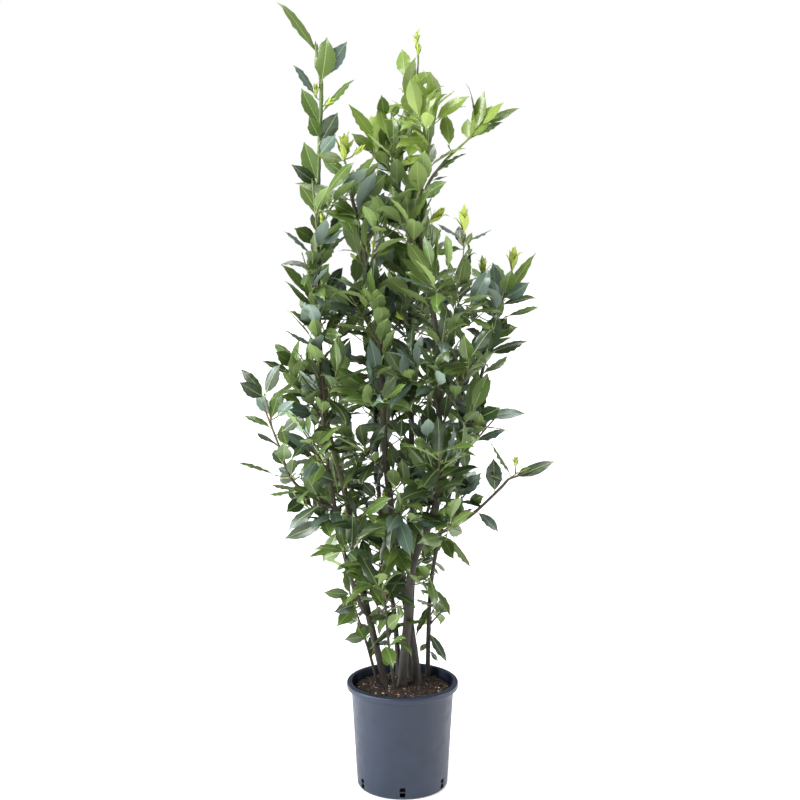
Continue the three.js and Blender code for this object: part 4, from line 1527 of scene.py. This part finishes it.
def make_soil():
    """A plug of compost that fills the pot, drawn in behind the slots, with its rough top."""
    clear = WALL + SOIL_CLEAR
    shaded = SLOT_SILL + SLOT_HEIGHT + SLOT_SHADE_ABOVE
    side = [(pot_radius(h) - clear - SLOT_SHADE * (h < shaded), h)
            for h in np.linspace(PLUG_FOOT, PLUG_TOP, SOIL_LEVELS)]
    rim = pot_radius(PLUG_TOP) - clear
    top = [(rim * (1 - k / SOIL_RINGS), PLUG_TOP) for k in range(1, SOIL_RINGS)]
    under = [(0, PLUG_FOOT), (rim * PLUG_INNER_RING, PLUG_FOOT)]
    vertices, faces = lathe([*under, *side, *top, (0, PLUG_TOP)], SOIL_SEGMENTS)
    crown = vertices[1 + (1 + len(side)) * SOIL_SEGMENTS:]
    crown[:, 2] = soil_surface(crown[:, 0], crown[:, 1])
    plug = Shape()
    plug.add(vertices, faces)
    make_piece("compost", plug, [compost()], ["soil"])


def soil_bed(name):
    """The top of the compost alone, as the bed that chips are strewn on."""
    least, from_wall = BED_RADII
    radii = np.linspace(least, pot_radius(SOIL_EDGE) - WALL - from_wall, BED_RINGS)
    angles = np.arange(BED_SEGMENTS) * 2 * math.pi / BED_SEGMENTS
    x, y = radii[:, None] * np.cos(angles), radii[:, None] * np.sin(angles)
    faces = []
    for ring in range(BED_RINGS - 1):
        low, high = ring * BED_SEGMENTS, (ring + 1) * BED_SEGMENTS
        for k in range(BED_SEGMENTS):
            after = (k + 1) % BED_SEGMENTS
            faces.append((low + k, high + k, high + after, low + after))
    bed = Shape()
    bed.add(np.stack([x, y, soil_surface(x, y)], -1).reshape(-1, 3), faces)
    return loose_object(name, bed)


def chip_mesh(name, length, width, thick, seed):
    """One broken chip of a few dozen faces."""
    chance = np.random.default_rng(seed)
    rings = len(CHIP_SWELL)
    rows = np.linspace(-0.5, 0.5, rings)
    points = np.stack([rows * length, chance.uniform(-CHIP_DRIFT, CHIP_DRIFT, rings) * width,
                       chance.uniform(-CHIP_DRIFT, CHIP_DRIFT, rings) * thick], -1)
    swell = np.array(CHIP_SWELL)[:, None]
    radii = swell * chance.uniform(*CHIP_BREAKS, (rings, CHIP_SIDES)) * width / 2
    vertices, faces = tube(points, radii, CHIP_SIDES)
    vertices[:, 2] *= thick / width
    shape = Shape()
    shape.add(vertices, faces)
    return loose_object(name, shape)


def scatter(name, chip_thing, material, count, sizes, seed):
    """Chips strewn over the compost by Geometry Nodes, each turned and sized by chance."""
    tree = bpy.data.node_groups.new(name, "GeometryNodeTree")
    face = tree.interface
    face.new_socket("Geometry", in_out="INPUT", socket_type="NodeSocketGeometry")
    density = face.new_socket("Chips per square metre", in_out="INPUT",
                              socket_type="NodeSocketFloat")
    face.new_socket("Geometry", in_out="OUTPUT", socket_type="NodeSocketGeometry")
    start = add(tree, "NodeGroupInput")
    spots = add(tree, "GeometryNodeDistributePointsOnFaces", {"Seed": seed},
                {"Mesh": start.outputs[0], "Density": start.outputs[1]})
    shape = add(tree, "GeometryNodeObjectInfo", {"Object": chip_thing})
    turn = add(tree, "FunctionNodeRandomValue", {"Seed": seed + 1}, data_type="FLOAT_VECTOR")
    turn.inputs[0].default_value, turn.inputs[1].default_value = CHIP_TURNS
    size = add(tree, "FunctionNodeRandomValue", {"Seed": seed + 2}, data_type="FLOAT")
    size.inputs[2].default_value, size.inputs[3].default_value = sizes
    strewn = add(tree, "GeometryNodeInstanceOnPoints", None,
                 {"Points": spots.outputs["Points"], "Instance": shape.outputs["Geometry"],
                  "Rotation": turn.outputs[0], "Scale": size.outputs[1]})
    real = add(tree, "GeometryNodeRealizeInstances", links={0: strewn.outputs[0]})
    dressed = add(tree, "GeometryNodeSetMaterial", {"Material": material},
                  {"Geometry": real.outputs[0]})
    add(tree, "NodeGroupOutput", links={0: dressed.outputs[0]})
    bed = soil_bed(name + "_bed")
    modifier = bed.modifiers.new("strew", "NODES")
    modifier.node_group = tree
    modifier[density.identifier] = float(count)
    made = evaluated_mesh(bed)
    bpy.data.objects.remove(bed)
    bpy.data.objects.remove(chip_thing)
    made.shade_smooth()
    made.set_sharp_from_angle(angle=math.radians(CHIP_CREASE))
    declare(put_in_scene(name, made), ["soil"])


def strew_chips():
    """Bark chips, coir and grit, each kind strewn by its own seeds."""
    for number, (piece, row) in enumerate(CHIPS.items(), 1):
        name, light, dark, rough, sizes, count, scales = row
        one = chip_mesh(f"one_of_{piece}", *sizes, number)
        scatter(piece, one, chip(name, light, dark, rough), count, scales, 10 * number + 1)


# Limbs and twigs

def limb_tube(limb, sides, seed):
    """A limb's mesh with the relief of its bark: long ridges, and swellings where leaves sat."""
    way = limb.way
    start = (BURIED - SUNK) / way.length if limb.flare else 0
    count = int(way.length * (1 - start) / RING_STEP)
    shares = np.linspace(start, 1, count + 1)
    along = shares * way.length
    angles = np.arange(sides) * 2 * math.pi / sides
    radius = limb.radius(shares)[:, None]
    spots = np.stack([np.cos(angles) * radius, np.sin(angles) * radius,
                      np.repeat(along[:, None], sides, axis=1) * RIDGES_ALONG
                      + seed * BARK_APART], -1)
    ridges = noise(spots, RIDGES[1], seed) * RIDGES[0] * radius
    lumps = noise(spots * [1, 1, LUMPS_ALONG], LUMPS[1], seed + 1) * LUMPS[0] * radius
    beat = along / SCARS[1] + np.sin(along / SCAR_DRIFT[1] + seed) * SCAR_DRIFT[0]
    off = (beat - np.round(beat)) * SCARS[1] / SCAR_WIDTH
    swell = np.exp(-off ** 2)[:, None] * SCARS[0] * radius
    turned = np.cos(angles - np.round(beat)[:, None] * math.radians(GOLDEN_TURN))
    rough = radius + ridges + lumps + swell * (SCAR_SWELL[0] + SCAR_SWELL[1] * turned)
    if limb.flare:
        fade = np.exp(-np.maximum(along - BURIED, 0) / FLARE_HEIGHT)[:, None]
        rough = rough + fade * radius * BUTTRESSES[0] * np.cos(angles * BUTTRESSES[1] + seed)
    return tube(way.at(shares), rough, sides)


def make_limb_pieces(limbs):
    """Stems and boughs, each with its bark's relief. The leftmost stem is greener."""
    barks = {kind: bark(kind) for kind in ("stem", "leader", "bough")}
    for seed, (name, limb) in enumerate(limbs.items(), 1):
        kind, slot, sides = (("stem", "bark", STEM_SIDES) if name in STEMS
                             else ("bough", "young_bark", BOUGH_SIDES))
        shape = Shape()
        shape.add(*limb_tube(limb, sides, seed))
        material = barks["leader" if name == "left" else kind]
        make_piece(f"{kind}_{name}_bark", shape, [material], [f"{kind}_{name}"])


def twig_tube(twig, sides):
    """A twig that swells a little where its leaves stand."""
    rings = max(3, int(twig.length / TWIG_RING_STEP))
    shares = np.linspace(0, 1, rings + 1)
    radii = np.array([twig.radius(share) for share in shares])
    knots = np.sin(shares * twig.length / KNOT_SPACING + twig.turn)
    return tube(twig.way.at(shares), radii * (1 + KNOT * knots), sides)


def bud(twig):
    """A small pointed bud on a twig's end."""
    tangent = twig.frame(1)[0]
    places, widths = np.array(BUD_OUTLINE).T
    points = twig.end - tangent + tangent * BUD_LENGTH * places[:, None]
    return tube(points, widths * BUD_RADIUS, BUD_SIDES)


# Leaf meshes

def blade_faces(rows):
    """Quads of one blade and the material of each: the upper side, then the plainer underside,
    which shares its margin and both its ends. 0 is the blade, 1 the underside, 2 the midrib."""
    first = (rows + 1) * COLUMNS
    last = COLUMNS - 1
    middle = last // 2

    def upper(r, c):
        return r * COLUMNS + c

    def lower(r, c):
        if r in (0, rows) or c in (0, last):
            return upper(r, c)
        return first + (r - 1) * 2 + c - middle
    faces, parts = [], []
    for r in range(rows):
        for c in range(last):
            faces.append((upper(r, c), upper(r, c + 1), upper(r + 1, c + 1), upper(r + 1, c)))
            parts.append(2 if c == middle else 0)
    for r in range(rows):
        for near, far, part in ((0, middle, 1), (middle, middle + 1, 2), (middle + 1, last, 1)):
            faces.append((lower(r, near), lower(r + 1, near), lower(r + 1, far), lower(r, far)))
            parts.append(part)
    return faces, parts


def across_poses(poses, key, default):
    """One value of each pose, as a column."""
    return np.array([pose.get(key, default) for pose in poses])[:, None]


def summed(values, step):
    """Running sums from nought, for a line that goes on by one step a row."""
    return np.concatenate([np.zeros((len(values), 1)), np.cumsum(values[:, 1:], 1)], 1) * step


def blade_vertices(poses, chance, rows):
    """All blades of one piece at once: each is bent, hooked, folded, twisted and waved by its
    own chance."""
    count = len(poses)

    def pick(low, high):
        return chance.uniform(low, high, count)[:, None]
    spot, axis, upper = (np.array([pose[key] for pose in poses])
                         for key in ("spot", "axis", "upper"))
    side = np.cross(axis, upper)
    stalk = across_poses(poses, "stalk", STALK)
    calm = across_poses(poses, "calm", 1)
    wide = np.array([pose.get("width", 0) or chance.uniform(*LEAF_SHAPES) for pose in poses])
    run = across_poses(poses, "length", 0) - stalk
    half = wide[:, None] * run / 2
    s = np.linspace(0, 1, rows + 1)[None, :]

    # The midline: it curls, hooks at its tip and sways to one side
    curl, hook = pick(*CURL) * calm, pick(0, 1) ** 2 * HOOK * calm
    droop = np.radians(-TILTED_BACK * curl + curl * s + hook * s ** HOOK_POWER)
    step = run / rows
    forward, drop = summed(np.cos(droop), step), summed(np.sin(droop), step)
    sway = np.tan(np.radians(pick(-SWAY, SWAY))) * run * s ** 2 / 2
    line = ((spot + axis * stalk)[:, None] + axis[:, None] * forward[..., None]
            - upper[:, None] * drop[..., None] + side[:, None] * sway[..., None])
    lift = upper[:, None] * np.cos(droop)[..., None] + axis[:, None] * np.sin(droop)[..., None]
    roll = np.radians(pick(-TWIST, TWIST)) * s
    flat = side[:, None] * np.cos(roll)[..., None] + lift * np.sin(roll)[..., None]
    normal = lift * np.cos(roll)[..., None] - side[:, None] * np.sin(roll)[..., None]

    # The half width along it, and how the two halves fold up, arch down again and wave
    foot, foot_power = FOOT_TAPER
    tip, tip_power = TIP_TAPER
    to_foot = (1 - s) ** foot_power
    outline = np.sin(math.pi * s ** FULLEST) ** (FULLNESS + foot * to_foot + tip * s ** tip_power)
    edge = half * outline + NECK_WIDTH * to_foot + LEAST_WIDTH
    fold = np.tan(np.radians(pick(*FOLD))) * (1 - FOLD_LOST * s)
    arch = pick(*ARCH)
    waves = [(pick(*WAVE_HEIGHTS), pick(*WAVE_LENGTHS), pick(*WAVE_STARTS)) for _ in range(2)]
    veins = QUILT * np.cos(math.pi * np.arange(rows + 1))[None]
    unders, tops = [], []
    for c, u in enumerate(COLUMN_PLACES):
        on_left = c < COLUMNS // 2
        size, period, phase = waves[on_left]
        turns = 2 * math.pi * s * run / period
        across = edge * u * (1 + SCALLOP * np.sin(turns + phase * 2) if abs(u) == 1 else 1)
        if u == 0:
            across = np.minimum(MIDRIB, edge * MIDRIB_MOST) * (1 - MIDRIB_LOST * s)
            across = across * (-1 if on_left else 1)
        reach = np.abs(across)
        ripple = size * np.sin(turns + phase) * abs(u) ** RIPPLE_POWER
        ripple = ripple * np.sin(math.pi * s) ** 0.5 * np.minimum(1, run / SHORTEST_WAVED)
        height = fold * reach - arch * reach ** 2 / np.maximum(half, 1) + ripple
        height = height + veins * (abs(u) not in (0, 1))
        top = line + flat * across[..., None] + normal * height[..., None]
        thick = BLADE_THICKNESS + RIB_DEPTH * (1 - RIB_DEPTH_LOST * s) * (u == 0) + 0 * across
        tops.append(top)
        unders.append(top - normal * thick[..., None])
    middle = COLUMNS // 2
    top = np.stack(tops, 2).reshape(count, -1, 3)
    under = np.stack(unders, 2)[:, 1:rows, middle - 1:middle + 1].reshape(count, -1, 3)
    return np.concatenate([top, under], 1)


def petiole(pose):
    """A leaf's stalk, from inside its twig to under its blade."""
    back, on = PETIOLE_OVERLAPS
    root = pose["spot"] - pose["axis"] * back
    end = pose["spot"] + pose["axis"] * (pose.get("stalk", STALK) + on)
    points = np.linspace(root, end, PETIOLE_RINGS)
    radii = np.linspace(*PETIOLE_RADII, PETIOLE_RINGS)
    radii = radii * min(1, pose["length"] / FULL_PETIOLE_LENGTH)
    return tube(points - pose["upper"] * PETIOLE_DROP, radii, PETIOLE_SIDES)


def leaf_piece(name, poses, materials, nodes, seed, rows=LEAF_ROWS):
    """One piece of leaves. A pose's tone gives its place among the pairs of materials, and the
    midrib and petiole take the last material."""
    faces, parts = blade_faces(rows)
    blades = blade_vertices(poses, np.random.default_rng(seed), rows)
    rib = len(materials) - 1
    shape = Shape()
    for pose, vertices in zip(poses, blades):
        tone = 2 * pose["tone"]
        shape.add(vertices, faces, [rib if part == 2 else tone + part for part in parts])
        shape.add(*petiole(pose), rib)
    piece = make_piece(name, shape, materials, nodes)
    sharpen_margins(piece.data, blades.shape[1], rows)


def sharpen_margins(mesh, blade_size, rows):
    """Marks each blade's margin sharp, so that its two sides are shaded apart."""
    place = np.arange(len(mesh.vertices)) % (blade_size + PETIOLE_SIDES * PETIOLE_RINGS)
    row, col = place // COLUMNS, place % COLUMNS
    on_top = place < (rows + 1) * COLUMNS
    margin = on_top & ((col == 0) | (col == COLUMNS - 1) | (row == 0) | (row == rows))
    ends = np.zeros(len(mesh.edges) * 2, np.int32)
    mesh.edges.foreach_get("vertices", ends)
    ends = ends.reshape(-1, 2)
    sharp = margin[ends[:, 0]] & margin[ends[:, 1]]
    marks = mesh.attributes.new("sharp_edge", "BOOLEAN", "EDGE")
    marks.data.foreach_set("value", sharp)


# Foliage

def palette_at(spot):
    """The greens of a leaf by where it grows. The crown's greens hold painted light shining through
    young leaves.
    """
    x, _, z = spot
    if z > LEADER_FROM and x < LEADER_LEFT_OF:
        return PALETTES["leader"]
    return next(PALETTES[name] for name, height in PALETTE_HEIGHTS if z > height)


def deal_tones(poses, seed):
    """Greens dealt out by spray: one for each twig by its height, with odd leaves of another."""
    draw = random_from(seed)
    names = list(TONES)
    for pose in poses:
        palette = palette_at(pose["spot"])
        favoured = palette[pose["spray"] % len(palette)]
        other = palette[int(draw() * len(palette)) % len(palette)]
        pose["tone"] = names.index(favoured if draw() < OWN_GREEN else other)


def leaf_materials():
    made = []
    # The blue greens hold a painted sheen, and the bright and fresh greens painted light shining
    # through young leaves.
    for name, (top, back) in TONES.items():
        made.append(blade(f"Waxy laurel leaf, {name} green", top))
        made.append(underside(f"Laurel leaf underside, {name}", back))
    # Midribs and petioles, yellow-green.
    made.append(new_material("Laurel midrib", Base_Color=linear("96a566"), Roughness=0.5)[0])
    return made


def tuft_poses(twig, size):
    """A tuft of small folded leaves that has just opened at a shoot's end."""
    draw = random_from(twig.seed + TUFT_SEED_STEP)
    tangent = twig.frame(1.0)[0]
    poses = []
    for index in range(TUFT_LEAVES):
        side = twig.outward(1.0, index * GOLDEN_TURN)
        angle = TUFT_OPENING + TUFT_OPENING_STEP * index + stray(draw, STRAY_TUFT)
        axis = unit(opened(tangent, side, angle))
        upper = unit(opened(-side, tangent, angle))
        down = size * TUFT_DEPTH * index / TUFT_LEAVES
        length = size * between(draw, NEW_LEAF_SIZES) - down * NEW_LEAF_LOSS
        poses.append({"spot": twig.end + side * NEW_STALK_FOOT - tangent * down, "axis": axis,
                      "upper": upper, "length": length, "stalk": NEW_STALK,
                      "width": NEW_LEAF_SHAPE, "tone": 0})
    return poses


def wood_of(group, shoots):
    """The twigs of one limb's masses with their buds. 0 is brown bark and 1 green."""
    twigs = [(shoot, SEEN_TWIG_SIDES, 0) for shoot in shoots]
    for mass in group:
        twigs += [(mass["stem"], STEM_TWIG_SIDES, int(mass["name"] == "left_tip"))]
        twigs += [(twig, SIDE_TWIG_SIDES, 1) for twig in mass["sides"]]
        twigs += [(twig, SPUR_SIDES, 1) for twig in mass["spurs"] if not twig.bare]
    wood = Shape()
    for twig, sides, part in twigs:
        wood.add(*twig_tube(twig, sides), part)
        wood.add(*bud(twig), 1)
    return wood


def make_foliage(masses, extra, tufts):
    """Leaves, twigs, buds and new tufts: a piece of each kind for each limb that bears them."""
    greens = leaf_materials()
    shoot_bark = bark("twig")
    green_shoot = new_material("Green laurel shoots", Base_Color=linear("526530"),
                               Roughness=0.55)[0]
    lime = [blade("New laurel leaves, lime", "8a9d38", 0.5),
            underside("New laurel leaves, lime underside", "a5b64e"),
            new_material("New leaf midrib", Base_Color=linear("aebd58"), Roughness=0.5)[0]]
    owners = {}
    for mass in masses:
        owners.setdefault(mass["limb"], []).append(mass)
    for seed, (limb, group) in enumerate(owners.items()):
        nodes = ["foliage_" + mass["name"] for mass in group]
        poses = extra[limb]["leaves"] + [pose for mass in group for pose in mass["leaves"]]
        deal_tones(poses, TONE_SEED + seed)
        leaf_piece(f"leaves_{limb}", poses, greens, nodes, LEAF_SHAPE_SEED + seed)
        make_piece(f"twigs_{limb}", wood_of(group, extra[limb]["shoots"]),
                   [shoot_bark, green_shoot], nodes)
        fresh = [pose for owner, shoot, size in tufts if owner == limb
                 for pose in tuft_poses(shoot, size)]
        if fresh:
            leaf_piece(f"new_leaves_{limb}", fresh, lime, nodes, NEW_LEAF_SHAPE_SEED + seed,
                       NEW_LEAF_ROWS)


# Studio

def floor_paper():
    # White paper, lit from below, and more so far out, where the lamps fade.
    material, tree, shader = new_material("White floor paper", Base_Color=linear("f4f4f4"),
                                          Emission_Color=linear("ffffff"), Roughness=0.9)
    place = add(tree, "ShaderNodeTexCoord").outputs["Object"]
    out = add(tree, "ShaderNodeVectorMath", links={0: place}, operation="LENGTH").outputs["Value"]
    glow = range_node(tree, out, *FLOOR_GLOW, *FLOOR_CHANGE)
    tree.links.new(glow, shader.inputs["Emission Strength"])
    return material


def make_floor():
    """A plain white floor that meets the white surround far out."""
    corners = [(x * FLOOR_REACH, y * FLOOR_REACH, 0)
               for x, y in ((-1, -1), (1, -1), (1, 1), (-1, 1))]
    mesh = bpy.data.meshes.new("floor")
    mesh.from_pydata(corners, [], [(0, 1, 2, 3)])
    mesh.materials.append(floor_paper())
    put_in_scene("floor", mesh)


def add_lamp(name, place, aim_height, size, power, colour):
    """A square lamp that faces the bush's axis at that height."""
    data = bpy.data.lights.new(name, "AREA")
    data.size = size
    data.energy = power
    data.color = linear(colour)[:3]
    lamp = put_in_scene(name, data)
    lamp.location = place
    x, y, z = np.array((0, 0, aim_height)) - np.array(place)
    lamp.rotation_euler = (math.atan2(math.hypot(x, y), -z), 0, math.atan2(-x, y))


def light_scene():
    """A surround that looks white and lights the bush softly, and four soft lamps."""
    world = bpy.data.worlds.new("Soft white surround")
    world.use_nodes = True
    tree = world.node_tree
    background = tree.nodes["Background"]
    background.inputs["Color"].default_value = linear("ffffff")
    seen = add(tree, "ShaderNodeLightPath").outputs["Is Camera Ray"]
    tree.links.new(range_node(tree, seen, SURROUND_LIGHT, 1.0), background.inputs["Strength"])
    bpy.context.scene.world = world
    for name, lamp in LAMPS.items():
        add_lamp(name, *lamp)
    bpy.context.scene.view_settings.view_transform = "Standard"


def set_camera():
    data = bpy.data.cameras.new("camera")
    data.lens = LENS
    camera = put_in_scene("camera", data)
    camera.location = EYE * MM
    camera.rotation_euler = (math.radians(90 - EYE_DOWN), 0, 0)
    bpy.context.scene.camera = camera


def main():
    limbs, masses, extra, tufts = grow()
    make_pot()
    make_soil()
    strew_chips()
    make_limb_pieces(limbs)
    make_foliage(masses, extra, tufts)
    make_floor()
    light_scene()
    set_camera()


main()
